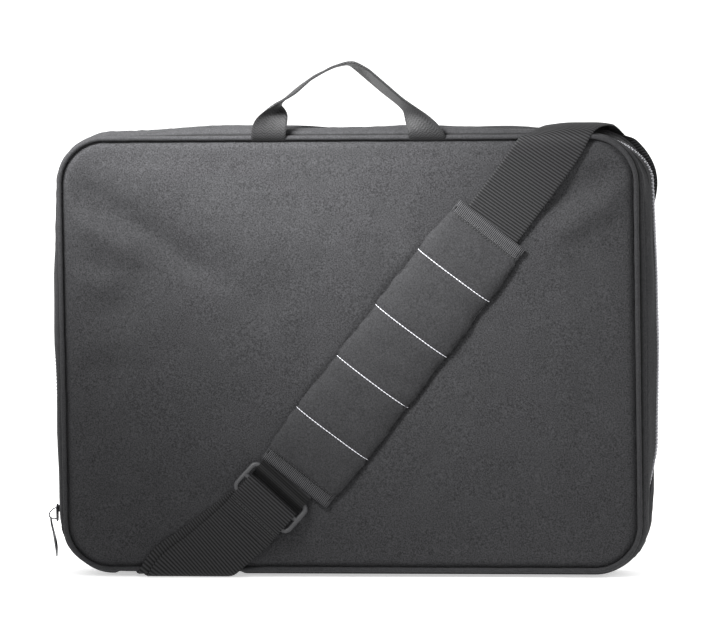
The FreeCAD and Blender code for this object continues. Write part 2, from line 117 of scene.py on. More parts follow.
def show(name, data):
    """An object in the scene that shows a mesh, a light or a camera."""
    piece = bpy.data.objects.new(name, data)
    bpy.context.scene.collection.objects.link(piece)
    return piece


def add_mesh(name, points, faces, material, uv=None):
    """A mesh object from points in millimetres; uv is one pair in metres per point."""
    mesh = bpy.data.meshes.new(name)
    mesh.from_pydata((np.asarray(points, float) * MM).tolist(), [], faces)
    mesh.update()
    if uv is not None:
        layer = mesh.uv_layers.new(name="weave")
        index = np.zeros(len(mesh.loops), np.int32)
        mesh.loops.foreach_get("vertex_index", index)
        layer.data.foreach_set("uv", (np.asarray(uv, float)[index]).astype(np.float32).ravel())
    mesh.polygons.foreach_set("use_smooth", [True] * len(mesh.polygons))
    mesh.materials.append(material)
    return show(name, mesh)


def grid_faces(rows, cols, first=0, wrap=False, flip=False):
    """Quads of a grid of points stored row by row."""
    faces = []
    last = cols if wrap else cols - 1
    for i in range(rows - 1):
        for j in range(last):
            a = first + i * cols + j
            b = first + i * cols + (j + 1) % cols
            c = first + (i + 1) * cols + (j + 1) % cols
            d = first + (i + 1) * cols + j
            faces.append((a, d, c, b) if flip else (a, b, c, d))
    return faces


def capped_faces(rows, cols, first=0):
    """Faces of a capped tube whose points start at the given number."""
    last = first + (rows - 1) * cols
    caps = [tuple(reversed(range(first, first + cols))), tuple(range(last, last + cols))]
    return grid_faces(rows, cols, first, wrap=True) + caps


def tube(name, rings, material, uv=None, closed=False):
    """A closed piece from rings of points: capped, or with its last ring joined to the first."""
    rows, cols = rings.shape[:2]
    faces = capped_faces(rows, cols)
    if closed:
        last = (rows - 1) * cols
        faces[-2:] = [(last + j, last + (j + 1) % cols, (j + 1) % cols, j) for j in range(cols)]
    uv = np.zeros((rows, cols, 2)) if uv is None else uv
    piece = add_mesh(name, rings.reshape(-1, 3), faces, material, uv.reshape(-1, 2))
    fix_normals(piece)
    return piece


def closed_sheet(name, front, back, material, uv):
    """A thin closed piece from two matching grids of points."""
    rows, cols = front.shape[:2]
    count = rows * cols
    faces = grid_faces(rows, cols) + grid_faces(rows, cols, first=count, flip=True)
    number = np.arange(count).reshape(rows, cols)
    edge = [*number[0], *number[1:, -1], *number[-1, -2::-1], *number[-2:0:-1, 0]]
    edge = [int(a) for a in edge]
    for a, b in zip(edge, edge[1:] + edge[:1]):
        faces.append((b, a, a + count, b + count))
    points = np.concatenate([front.reshape(-1, 3), back.reshape(-1, 3)])
    piece = add_mesh(name, points, faces, material, np.tile(uv.reshape(-1, 2), (2, 1)))
    fix_normals(piece)
    return piece


def fix_normals(piece):
    """Turns every face outwards."""
    build = bmesh.new()
    build.from_mesh(piece.data)
    bmesh.ops.recalc_face_normals(build, faces=build.faces)
    crease_edges(build)
    build.to_mesh(piece.data)
    build.free()


def crease_edges(build):
    """Keeps shading crisp where a piece ends."""
    for edge in build.edges:
        if len(edge.link_faces) == 2 and edge.calc_face_angle(0.0) > 0.95:
            edge.smooth = False


def place(piece, body, slot, *nodes):
    """Rides the piece on its body and hides the CAD parts it stands for; slot is not used."""
    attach(piece, body)
    if nodes:
        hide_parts(*nodes)
    return piece


# ---------------------------------------------------------------- materials


class Nodes:
    """Short names for building a node material."""

    def __init__(self, name):
        self.material = bpy.data.materials.new(name)
        self.material.use_nodes = True
        self.tree = self.material.node_tree
        self.shader = self.tree.nodes["Principled BSDF"]
        self.space = self.add("ShaderNodeTexCoord").outputs["Object"]

    def add(self, kind, **values):
        node = self.tree.nodes.new(kind)
        for key, value in values.items():
            setattr(node, key, value)
        return node

    def link(self, source, target):
        self.tree.links.new(source, target)

    def math(self, operation, a, b=None):
        node = self.add("ShaderNodeMath", operation=operation)
        for socket, value in zip(node.inputs, (a, b)):
            if value is None:
                continue
            if isinstance(value, (int, float)):
                socket.default_value = value
            else:
                self.link(value, socket)
        return node.outputs[0]

    def times(self, a, b):
        return self.math("MULTIPLY", a, b)

    def plus(self, a, b):
        return self.math("ADD", a, b)

    def waves(self, place, pitch, kind="SINE"):
        return self.math(kind, self.times(place, TAU / pitch))

    def axes(self, flat=False):
        """Coordinates in metres along and across the cloth; flat cloth takes them from the object."""
        coords = self.space if flat else self.add("ShaderNodeUVMap", uv_map="weave").outputs["UV"]
        parts = self.add("ShaderNodeSeparateXYZ")
        self.link(coords, parts.inputs[0])
        return parts.outputs["X"], parts.outputs["Z" if flat else "Y"]

    def noise(self, scale, detail=2.0, rough=0.5):
        node = self.add("ShaderNodeTexNoise")
        node.inputs["Scale"].default_value = scale
        node.inputs["Detail"].default_value = detail
        node.inputs["Roughness"].default_value = rough
        self.link(self.space, node.inputs["Vector"])
        return node.outputs["Fac"]

    def ramp(self, fac, stops, tint=0.06):
        """Greys between two stops, each with a faint cool tint."""
        node = self.add("ShaderNodeValToRGB")
        for mark, (position, shade) in zip(node.color_ramp.elements, stops):
            mark.position = position
            mark.color = (shade, shade, shade * (1 + tint), 1.0)
        self.link(fac, node.inputs["Fac"])
        return node.outputs["Color"]

    def paint(self, colour):
        self.link(colour, self.shader.inputs["Base Color"])

    def bump(self, height, strength, distance, below=None):
        node = self.add("ShaderNodeBump")
        node.inputs["Strength"].default_value = strength
        node.inputs["Distance"].default_value = distance
        self.link(height, node.inputs["Height"])
        if below is not None:
            self.link(below, node.inputs["Normal"])
        return node.outputs["Normal"]

    def relief(self, *values):
        self.link(self.bump(*values), self.shader.inputs["Normal"])

    def finish(self, rough, sheen=0.0, sheen_rough=0.5, metal=0.0, level=0.5):
        values = self.shader.inputs
        values["Roughness"].default_value = rough
        values["Metallic"].default_value = metal
        values["Sheen Weight"].default_value = sheen
        values["Sheen Roughness"].default_value = sheen_rough
        values["Specular IOR Level"].default_value = level
        return self.material


# Where the gusset cloth dips into the piping's seam, and half that dip's width, in metres: the line of
# painted seam shade.
SEAM_LINE = 0.0208
SEAM_DIP = 0.0009


def painted_seam_shade(n, colour, across):
    """Paints shade into the colour along the narrow line where the cloth dips into the seam."""
    off = n.times(n.math("SUBTRACT", n.math("ABSOLUTE", across), SEAM_LINE), 1 / SEAM_DIP)
    shadow = n.math("MAXIMUM", n.math("SUBTRACT", 1.0, n.times(off, off)), 0.0)
    scale = n.add("ShaderNodeVectorMath", operation="SCALE")
    n.link(colour, scale.inputs[0])
    n.link(n.math("SUBTRACT", 1.0, n.times(shadow, 0.82)), scale.inputs["Scale"])
    return scale.outputs[0]


def woven(name, shade, sheen, level, pitch=0.00062, depth=0.00012, flat=False, contrast=0.42, seam=False):
    """Coarse plain-weave polyester with uneven yarns; seam paints shade into its colour along the line where
    it is stitched to the piping.
    """
    n = Nodes(name)
    along, across = n.axes(flat)
    cells = n.times(n.waves(along, pitch), n.waves(across, pitch))
    grain = n.noise(900.0, 3.0, 0.65)
    blotch = n.noise(55.0, 3.0, 0.55)
    height = n.plus(n.times(cells, 0.45), n.times(grain, 1.6))
    mix = n.plus(n.times(grain, 0.93), n.times(blotch, 0.07))
    colour = n.ramp(mix, [(0.34, shade * (1 - contrast)), (0.66, shade * (1 + contrast))])
    # With seam, painted shade darkens the colour along the seam line.
    n.paint(painted_seam_shade(n, colour, across) if seam else colour)
    slub = n.bump(n.noise(420.0, 3.0, 0.6), 0.5, 0.00035)
    n.relief(height, 0.6, depth, slub)
    return n.finish(0.8, sheen, 0.45, 0.0, level)


def webbing(name, shade, pitch=0.00242):
    """Ribbed nylon webbing: the ribs are in the mesh, the yarns in the bump; its colour is lighter on each
    rib's crest and darker between, as painted highlight and shade.
    """
    n = Nodes(name)
    along, across = n.axes()
    yarn = n.waves(across, 0.0011)
    rib = n.waves(along, pitch, "COSINE")
    grain = n.noise(1400.0, 2.0, 0.6)
    # Painted highlight and shade: the colour follows the ribs, light on the crests and dark in the hollows.
    tone = n.plus(n.times(rib, 0.55), grain)
    n.paint(n.ramp(tone, [(0.15, shade * 0.08), (0.95, shade * 3.1)]))
    n.relief(n.plus(n.times(yarn, 0.35), grain), 0.5, 0.00015)
    return n.finish(0.62, 0.04, 0.4, 0.0, 0.2)


def herringbone(name, shade):
    """Fine webbing woven in a herringbone."""
    n = Nodes(name)
    along, across = n.axes()
    zig = n.math("PINGPONG", n.times(across, 1 / 0.0075), 0.5)
    twill = n.waves(n.plus(along, n.times(zig, 0.0060)), 0.0022)
    yarn = n.waves(across, 0.00125)
    mixed = n.plus(n.times(twill, 0.3), n.times(n.times(twill, yarn), 0.25))
    tone = n.plus(mixed, n.noise(1200.0, 2.0, 0.6))
    n.paint(n.ramp(tone, [(0.3, shade * 0.2), (0.85, shade * 3.4)]))
    n.relief(tone, 0.6, 0.0003)
    return n.finish(0.6, 0.05, 0.4, 0.0, 0.3)


def hard(name, shade, rough, metal, level=0.5):
    """Painted or plated metal or moulded plastic with faint wear."""
    n = Nodes(name)
    wear = n.noise(300.0, 4.0, 0.6)
    n.paint(n.ramp(wear, [(0.35, shade * 0.85), (0.7, shade * 1.15)]))
    n.link(n.plus(n.times(wear, 0.25), rough - 0.12), n.shader.inputs["Roughness"])
    n.relief(n.noise(1800.0), 0.15, 0.00004)
    return n.finish(rough, metal=metal, level=level)


def thread(name, shade):
    """Twisted sewing thread."""
    n = Nodes(name)
    twist = n.waves(n.plus(*n.axes()), 0.0006)
    n.paint(n.ramp(twist, [(0.0, shade * 0.8), (1.0, shade)]))
    n.relief(twist, 0.4, 0.0001)
    return n.finish(0.6, 0.2)


CASE = woven("case_weave", 0.025, 0.02, 0.16, flat=True, contrast=0.62)
EDGE = woven("edge_weave", 0.025, 0.03, 0.2)
# The gusset cloth carries the painted seam shade.
SIDE = woven("side_weave", 0.025, 0.03, 0.2, seam=True)
PAD = woven("pad_weave", 0.023, 0.03, 0.2, flat=True, contrast=0.5)
PAD_EDGE = woven("pad_edge_weave", 0.02, 0.05, 0.25)
LINING = woven("lining_weave", 0.014, 0.05, 0.3, pitch=0.0004, depth=0.00005, flat=True)
BINDING = webbing("binding_rib", 0.021, pitch=0.0014)
TAPE = woven("tape_weave", 0.018, 0.05, 0.25, pitch=0.0008, depth=0.0001)
WEBBING = webbing("strap_webbing", 0.0075)
# A darker copy of the webbing: painted shade for the run in the pad's shadow at the buckle.
PAINTED_SHADE_WEBBING = webbing("strap_webbing_painted_shade", 0.0028)
HERRINGBONE = herringbone("handle_webbing", 0.0072)
TEETH = hard("zip_teeth", 0.4, 0.45, 0.1)
WIRE = hard("buckle_wire", 0.042, 0.45, 0.0, 0.4)
SLIDER = hard("slider_metal", 0.09, 0.38, 0.8)
THREAD = thread("contrast_thread", 0.8)
DARK_THREAD = thread("seam_thread", 0.012)


# ---------------------------------------------------------------- the case's outline

# Seam outline of the case: half width, lower and upper edge, corner radius.
HALF = 239.0
LOW = 5.0
HIGH = 363.0
RADIUS = 39.0
# Depths from the zip: the piping seam and the face of each panel.
SEAM_Y = 21.2
PANEL_Y = 26.0


class Outline:
    """Rounded rectangle walked clockwise seen from the front, from the middle of its base."""

    def __init__(self, half, low, high, radius):
        flat, rise, arc = half - radius, high - low - 2 * radius, radius * math.pi / 2
        base, top = low + radius, high - radius
        self.radius = radius
        self.parts = [flat, arc, rise, arc, 2 * flat, arc, rise, arc, flat]
        self.total = sum(self.parts)
        # A straight run is its start (x, z) and direction (x, z), a corner its middle (x, z) and first angle.
        self.shapes = [
            (0, low, -1, 0), (-flat, base, -90), (-half, base, 0, 1), (-flat, top, 180), (-flat, high, 1, 0),
            (flat, top, 90), (half, top, 0, -1), (flat, base, 0), (flat, low, -1, 0),
        ]

    def at(self, s):
        """Points (x, z) and outward normals (x, z) at distances s along the outline."""
        s = np.mod(np.asarray(s, float), self.total)
        out = np.zeros((len(s), 4))
        start = 0.0
        for length, (x, z, *way) in zip(self.parts, self.shapes):
            inside = (s >= start - 1e-9) & (s <= start + length + 1e-9)
            t = s[inside] - start
            if len(way) == 2:
                dx, dz = way
                out[inside] = np.stack([x + dx * t, z + dz * t, -dz + 0 * t, dx + 0 * t], 1)
            else:
                turn = math.radians(way[0]) - t / self.radius
                nx, nz = np.cos(turn), np.sin(turn)
                out[inside] = np.stack([x + self.radius * nx, z + self.radius * nz, nx, nz], 1)
            start += length
        return out


SEAM = Outline(HALF, LOW, HIGH, RADIUS)
FLAT = HALF - RADIUS
ARC = RADIUS * math.pi / 2
# Cloth thickness and mesh step of the gusset, then radius and depth of the piping.
GUSSET_THICK = 1.6
GUSSET_STEP = 2.2
PIPING_RADIUS = 2.0
PIPING_Y = 24.0
# Seeds of the unevenness drawn for each half of the gusset and for its bottom band.
GUSSET_SEED = {"front": 11, "back": 12, "bottom": 13}
# How far the gusset stands out from the seam outline on either side of the case, by height.
SIDE_HEIGHTS = (0.0, 20.0, 45.0, 105.0, 190.0, 250.0, 290.0, 327.0, 352.0, 370.0)
LEFT_BULGE = (0.0, 3.4, 6.2, 7.2, 8.8, 7.6, 5.6, 1.2, 0.3, 0.0)
RIGHT_BULGE = (0.0, 1.6, 3.4, 8.2, 10.2, 9.6, 8.4, 7.0, 3.0, 0.8)


def bulge_at(s, y):
    """How far the gusset stands out from the seam outline."""
    x, z, _, nz = SEAM.at(s).T
    right = x > 0
    side = np.where(x < 0, np.interp(z, SIDE_HEIGHTS, LEFT_BULGE), np.interp(z, SIDE_HEIGHTS, RIGHT_BULGE))
    top = 6.0 * (1 - smooth(120, 215, np.abs(x) + 22 * (x < 0))) + 2.3 * bump(x + 125, 62)
    upward = np.clip(nz, 0, 1) ** 2
    downward = np.clip(-nz, 0, 1) ** 2
    sideways = 1 - upward - downward
    share = np.abs(y) / SEAM_Y
    round_side = np.clip(1 - share**2.6, 0, 1) ** 0.75
    round_top = np.clip(1 - share**4.5, 0, 1)
    low = 1 - smooth(60, 105, z)
    swell = low * right * 2.6 * bump(share - 0.6, 0.22)
    dip = bump(y, 7.0) * (2.8 * upward + 2.2 * low * right * sideways)
    amount = (side * round_side + swell) * sideways + top * round_top * upward - dip
    tall = smooth(60, 110, z) * (1 - 0.5 * smooth(330, 360, z))
    crest = 3.2 * bump(y, 9.0) * right * tall * sideways
    base = np.clip((SEAM_Y - np.abs(y)) / (SEAM_Y - 17.0), 0, 1) * (LOW - 1.8)
    return amount + crest + base * downward


def seam_ridge(y):
    """Raised seam allowance beside the piping, with a stitched groove."""
    inset = SEAM_Y - np.abs(y)
    return 1.5 * bump(inset - 2.3, 1.1) - 0.9 * bump(inset - 4.3, 0.7) - 1.2 * bump(inset + 0.2, 0.8)


def stand_off(data, out, y):
    """Points at depth y that stand out from an outline's points by a given distance."""
    x, z, nx, nz = data.T
    return np.stack([x + nx * out, y + 0 * x, z + nz * out], 1)


def gusset_grid(s, y, lift, seed, pucker=1.0):
    """Points of the gusset at distances s and depths y, lifted outwards."""
    data = SEAM.at(s)
    calm = 1 - smooth(0.5, 1.0, np.clip(-data[:, 3], 0, 1))
    rows = []
    for depth in y:
        inset = SEAM_Y - abs(depth)
        wave = ripple(s, np.full_like(s, depth * 3.0), 70.0, seed) * 0.9 * smooth(2, 12, inset)
        gather = ripple(s, np.full_like(s, depth), 9.0, seed + 1) * 0.22 * bump(inset - 4, 5)
        out = bulge_at(s, depth) + lift + (wave + gather) * pucker * calm + seam_ridge(depth) * calm
        rows.append(stand_off(data, out, depth))
    return np.array(rows)


def band(name, s, y, thick, material, seed, lift=0.0, pucker=1.0):
    """A closed strip of gusset fabric between depths y[0] and y[-1]."""
    outer = gusset_grid(s, y, lift, seed, pucker)
    inner = gusset_grid(s, y, lift - thick, seed, pucker)
    return closed_sheet(name, outer, inner, material, uv_grid(s, y))


# The zip runs from one lower corner round the top to the other.
ZIP_START = FLAT + ARC * 0.62
ZIP_END = SEAM.total - ZIP_START


def make_gussets():
    """Front and back halves of the gusset, and the bottom band that joins them."""
    s = run(ZIP_START, ZIP_END, GUSSET_STEP)
    depths = np.concatenate([np.linspace(21.6, 15, 16), np.linspace(14, 6.6, 8)])
    for side, sign in (("front", -1), ("back", 1)):
        fabric = band(side + "_gusset_fabric", s, sign * depths, GUSSET_THICK, SIDE, GUSSET_SEED[side])
        place(fabric, side + "_shell", "case_fabric", side + "_gusset")
    s = run(-ZIP_START, ZIP_START, GUSSET_STEP)
    rim = np.linspace(-21.4, -14, 12)
    across = np.concatenate([rim, np.linspace(-12.5, 12.5, 16), -rim[::-1]])
    outer = gusset_grid(s, across, 0.0, GUSSET_SEED["bottom"], 0.5)
    inner = gusset_grid(s, across, -GUSSET_THICK, GUSSET_SEED["bottom"], 0.5)
    for grid, strap_top in ((outer, 4.1), (inner, 5.7)):
        x, z = grid[..., 0], grid[..., 2]
        under = smooth(-199, -192, x) * (1 - smooth(-96, -89, x)) * (z < 12)
        grid[..., 2] = np.where(under > 0, z * (1 - under) + np.maximum(z, strap_top) * under, z)
    piece = closed_sheet("bottom_gusset_fabric", outer, inner, SIDE, uv_grid(s, across))
    place(piece, "back_shell", "case_fabric", "bottom_gusset")


def make_piping(side, sign):
    """Fabric-covered cord round a panel."""
    path = Outline(HALF - 1.2, LOW + 1.2, HIGH - 1.2, RADIUS - 1.2)
    s = run(0, path.total, 2.0)[:-1]
    data = path.at(s)
    turns = around(14)
    radius = PIPING_RADIUS * (1 + 0.05 * ripple(s, s * 0, 40, 21) + 0.03 * ripple(s, s * 0, 7, 22))
    lines = [stand_off(data, radius * math.cos(t), radius * math.sin(t) - sign * PIPING_Y) for t in turns]
    cord = tube(side + "_piping_cord", rings_of(lines), EDGE, uv_grid(turns * 2.45, s), closed=True)
    place(cord, side + "_shell", "case_fabric", side + "_piping")


# Half width, lower edge, upper edge and corner radius of the panels.
PANEL_SHAPE = (235.2, 8.8, 359.2, 35.2)


def panel_axes():
    """Grid positions for a rounded panel, row by row from its lower edge."""
    half, low, high, radius = PANEL_SHAPE
    rise = radius * (1 - np.cos(np.linspace(0, math.pi / 2, 22)))
    middle = run(low + radius, high - radius, 3.0)[1:-1]
    z = np.concatenate([low + rise, middle, (high - rise)[::-1]])
    gap = np.minimum(z - low, high - z)
    inward = np.where(gap < radius, radius - np.sqrt(np.clip(radius**2 - (radius - gap) ** 2, 0, None)), 0)
    rim = np.array([0.98, 0.988, 0.9925, 0.995, 0.9975, 1])
    share = np.concatenate([-rim[::-1], np.linspace(-0.97, 0.97, 161), rim])
    x = (half - inward)[:, None] * share[None, :]
    return x, np.repeat(z[:, None], x.shape[1], 1)


def edge_gap(x, z):
    """Distance in from the edge of a panel."""
    half, low, high, radius = PANEL_SHAPE
    dx = np.abs(x) - (half - radius)
    dz = np.abs(z - (low + high) / 2) - ((high - low) / 2 - radius)
    outside = np.hypot(np.clip(dx, 0, None), np.clip(dz, 0, None))
    return radius - outside - np.minimum(np.maximum(dx, dz), 0)


def ridge(x, z, a, b, width, tall, lean=0.0):
    """A fold from a to b that fades at both ends; lean makes one flank steeper."""
    ax, az = a
    bx, bz = b
    length = math.hypot(bx - ax, bz - az)
    ux, uz = (bx - ax) / length, (bz - az) / length
    along = ((x - ax) * ux + (z - az) * uz) / length
    across = -(x - ax) * uz + (z - az) * ux
    fade = smooth(-0.15, 0.2, along) * (1 - smooth(0.75, 1.15, along))
    wide = width * (1 + lean * np.sign(across))
    return tall * fade * np.exp(-((across / wide) ** 2))


# Soft folds of the panels: from, to, width, height, and how much steeper one flank is.
FRONT_FOLDS = (
    ((-238, 326), (-104, 242), 12, -6.2, 0.25),
    ((-238, 302), (-165, 262), 13, 4.8),
    ((-180, 340), (-40, 252), 24, 3.4),
    ((-238, 268), (-198, 252), 9, -1.3),
    ((-238, 246), (-190, 240), 10, 2.0),
    ((-238, 215), (-168, 224), 12, -1.4),
    ((-238, 192), (-160, 192), 15, 2.0),
    ((-238, 168), (-185, 175), 9, -1.4),
    ((240, 322), (170, 282), 12, 5.0),
    ((240, 344), (165, 304), 14, -3.8),
    ((236, 255), (150, 215), 30, -1.8),
    ((60, 120), (200, 90), 40, 1.6),
    ((-150, 120), (-40, 150), 35, -1.5),
    ((-235, 60), (-150, 90), 30, 1.8),
)
BACK_FOLDS = (((-120, 300), (60, 250), 40, 1.5), ((20, 90), (200, 130), 35, -1.2))


def folded(x, z, dome, folds):
    """A shallow dome with its folds."""
    height = dome * (1 - (x / 235) ** 2) * (1 - ((z - 184) / 176) ** 2)
    for fold in folds:
        height = height + ridge(x, z, *fold)
    return height


def front_height(x, z):
    """How far the front panel stands out."""
    h = folded(x, z, 2.6, FRONT_FOLDS)
    h = h + 0.8 * ripple(x, z, 120, 31) + 0.22 * ripple(x, z, 40, 32) + 0.09 * ripple(x, z, 14, 33)
    return np.maximum(h, -4.4)


def back_height(x, z):
    """How far the back panel stands out."""
    return folded(x, z, 2.0, BACK_FOLDS) + 0.55 * ripple(x, z, 130, 41) + 0.15 * ripple(x, z, 36, 42)


def sheet_over(name, x, z, near, far, material):
    """A closed sheet between two depths over a grid of places."""
    front, rear = (np.stack([x, depth + 0 * x, z], -1) for depth in (near, far))
    return closed_sheet(name, front, rear, material, np.stack([x * MM, z * MM], -1))


def make_panel(side, sign, height, *stiffener):
    """Panel of woven cloth over foam, drawn down into the seam at its edge."""
    x, z = panel_axes()
    gap = edge_gap(x, z)
    seam = -3.4 * np.exp(-((gap / 2.6) ** 1.5)) - 0.8 * np.exp(-gap / 10.0)
    gather = 0.18 * ripple(x, z, 8.0, 51) * np.exp(-gap / 7.0)
    out = np.minimum(height(x, z) * smooth(0, 26, gap) + seam + gather, press(x, z, sign))
    piece = sheet_over(side + "_panel_cloth", x, z, -sign * (PANEL_Y + out), -sign * (PANEL_Y - 5.2), CASE)
    place(piece, side + "_shell", "case_fabric", side + "_panel", side + "_foam", *stiffener)


def press(x, z, sign):
    """How far the cloth may rise: on the front, less under the webbing and the pad."""
    if sign < 0:
        return np.full_like(x, 9.0)
    turn = math.radians(PAD_TOP[2])
    across = (z - PAD_TOP[1]) * math.cos(turn) - (x - PAD_TOP[0]) * math.sin(turn)
    return 9.0 - 8.2 * (1 - smooth(34.0, 56.0, np.abs(across)))


def make_lining(side, sign, seed):
    """Lining with a slack pocket hem, seen when the case is open."""
    x, z = (axis[:, ::2] for axis in panel_axes())
    x = x * 0.996
    gap = edge_gap(x, z)
    sag = (0.45 * ripple(x, z, 60, seed) + 0.2 * ripple(x, z, 22, seed + 1)) * smooth(2, 25, gap)
    hem = 0.5 * bump(z - 225, 2.5) * smooth(6, 12, gap)
    face = sign * (-19.9 + np.clip(sag + hem, -0.6, 0.9))
    piece = sheet_over(side + "_lining_cloth", x, z, face, face - sign * 0.5, LINING)
    place(piece, side + "_shell", "lining_fabric", side + "_lining")


def make_binding(side, sign):
    """Tape folded over the raw seam inside the case."""
    path = Outline(HALF - 2.9, LOW + 2.9, HIGH - 2.9, RADIUS - 2.9)
    s = run(0, path.total, 4.0)[:-1]
    profile = [(0.0, 20.7), (0.35, 18.2), (0.0, 15.7), (-0.9, 15.6), (-1.2, 18.2), (-0.9, 20.7)]
    lines = [stand_off(path.at(s), out, -sign * deep) for out, deep in profile]
    uv = uv_grid(np.arange(len(profile)) * 2.4, s)
    tape = tube(side + "_binding_tape", rings_of(lines), BINDING, uv, closed=True)
    place(tape, side + "_shell", "binding", side + "_seam_binding")


# ---------------------------------------------------------------- zip

# A tooth's cross-sections from its root to its tip: depth, half width, half height.
TOOTH = (
    (3.4, 0.50, 0.75), (2.4, 0.62, 0.95), (1.2, 0.50, 1.0),
    (0.45, 0.66, 1.0), (-0.35, 0.62, 0.9), (-0.75, 0.35, 0.6),
)
EIGHT_CORNERS = ((-1, -0.7), (-0.7, -1), (0.7, -1), (1, -0.7), (1, 0.7), (0.7, 1), (-0.7, 1), (-1, 0.7))
TOOTH_PITCH = 3.0


def make_zip(side, sign):
    """Tape and a row of moulded teeth along one half of the zip."""
    body = side + "_shell"
    s = run(ZIP_START + 1, ZIP_END - 1, 2.6)
    depths = -sign * np.linspace(8.0, 2.0, 7)
    tape = band(side + "_zip_tape_cloth", s, depths, 0.7, TAPE, 61, lift=-1.0, pucker=0.3)
    place(tape, body, "zip_tape", side + "_zip_tape")
    count = int((ZIP_END - ZIP_START - 8) / TOOTH_PITCH)
    marks = ZIP_START + 4 + TOOTH_PITCH * np.arange(count) + (TOOTH_PITCH / 2 if sign > 0 else 0)
    data = SEAM.at(marks)
    along = np.stack([data[:, 3], 0 * marks, -data[:, 2]], 1)
    out = np.stack([data[:, 2], 0 * marks, data[:, 3]], 1)
    root = stand_off(data, bulge_at(marks, 0.0) - 0.55, 0.0)
    points, faces, pairs = [], [], []
    for index in range(count):
        faces += capped_faces(len(TOOTH), 8, len(points))
        for deep, wide, tall in TOOTH:
            centre = root[index] + np.array([0, -sign * deep, 0.0])
            for a, b in EIGHT_CORNERS:
                points.append(centre + along[index] * (wide * a) + out[index] * (tall * b))
                pairs.append((marks[index] * MM, deep * MM))
    teeth = add_mesh(side + "_zip_teeth_row", points, faces, TEETH, pairs)
    fix_normals(teeth)
    place(teeth, body, "zip_teeth", side + "_zip_teeth")


# ---------------------------------------------------------------- webbing

STRAP_STEP = 0.4


def resample(stations, step, soften):
    """Even, softened cross-sections (left, right, normal) along a run of webbing."""
    left, right, normal = (np.array([row[k] for row in stations], float) for k in range(3))
    normal = unit_rows(normal)
    edge_gaps = sum(np.linalg.norm(np.diff(edge, axis=0), axis=1) for edge in (left, right))
    gaps = np.maximum(np.linalg.norm(np.diff((left + right) / 2, axis=0), axis=1), 0.25 * edge_gaps)
    marks = np.concatenate([[0], np.cumsum(gaps)])
    s = run(0, marks[-1], step)
    tracks = [soften_track(read_at(s, marks, track), soften / step) for track in (left, right, normal)]
    return s, tracks[0], tracks[1], unit_rows(tracks[2])


def soften_track(track, width):
    """Gaussian smoothing that keeps both ends in place."""
    if width < 0.5:
        return track
    reach = int(width * 3) + 1
    weights = np.exp(-0.5 * (np.arange(-reach, reach + 1) / width) ** 2)
    weights = weights / weights.sum()
    start = 2 * track[:1] - track[reach:0:-1]
    end = 2 * track[-1:] - track[-2:-reach - 2:-1]
    padded = np.concatenate([start, track, end])
    return np.stack([np.convolve(padded[:, k], weights, "valid") for k in range(track.shape[1])], 1)


# Shoulder webbing: width, half the distance between its edge points, thickness, rib pitch and mesh step.
STRAP_WIDTH = 50.0
STRAP_HALF = 24.8
STRAP_THICK = 1.7
RIB = 2.42


def faces_and_places(across):
    """Which face (1 or -1) and place across for each point round the webbing's cross-section."""
    return [(1, w) for w in across] + [(-1, w) for w in across[::-1]]


def rounding(w):
    """The webbing's share of its full thickness at a place across it."""
    return min(1.0, (min(w, 1 - w) * STRAP_WIDTH / 1.1) + 0.25) ** 0.5


def make_webbing(name, stations, material, thick=STRAP_THICK, rib=0.34, soften=2.5, flat=None, columns=15):
    """A run of ribbed webbing with rounded edges; flat is a distance along it where the ribs fade."""
    s, left, right, normal = resample(stations, STRAP_STEP if rib else 1.2, soften)
    across = np.linspace(0, 1, columns)
    across = 0.5 - 0.5 * np.cos(across * math.pi) * (1 - 0.35 * np.sin(across * math.pi))
    width = np.linalg.norm(right - left, axis=1)
    wave = 0.5 + 0.5 * np.cos(TAU * s / RIB)
    depth = rib * (1 - 0.8 * bump(s - flat, 4.5)) if flat else rib
    lines, pairs = [], []
    for face, w in faces_and_places(across):
        tall = (thick / 2 - depth + depth * wave) * rounding(w)
        lines.append(left + (right - left) * w + normal * (face * tall)[:, None])
        pairs.append(np.stack([s * MM, w * width * MM], 1))
    return tube(name, rings_of(lines), material, rings_of(pairs))


def soft_profile(points, width=1.6, step=0.5):
    """Rounded (y, z) line the webbing lies on, with its length measured along it."""
    points = np.array(points, float)
    marks = lengths_along(points)
    line = soften_track(read_at(run(0, marks[-1], step), marks, points), width / step)
    return lengths_along(line), line


def flat_edges(profile, station):
    """Left and right edge points (x, distance along the profile) of one cross-section."""
    v_marks, line = profile

    def unroll(x, y, z):
        near = np.argmin((line[:, 0] - y) ** 2 + (line[:, 1] - z) ** 2)
        return np.array((x, v_marks[near]))

    if len(station) == 2:
        return unroll(*station[0]), unroll(*station[1])
    x, y, z, angle = station
    turn = math.radians(angle)
    side = np.array((-math.sin(turn), math.cos(turn))) * STRAP_HALF
    middle = unroll(x, y, z)
    return middle + side, middle - side


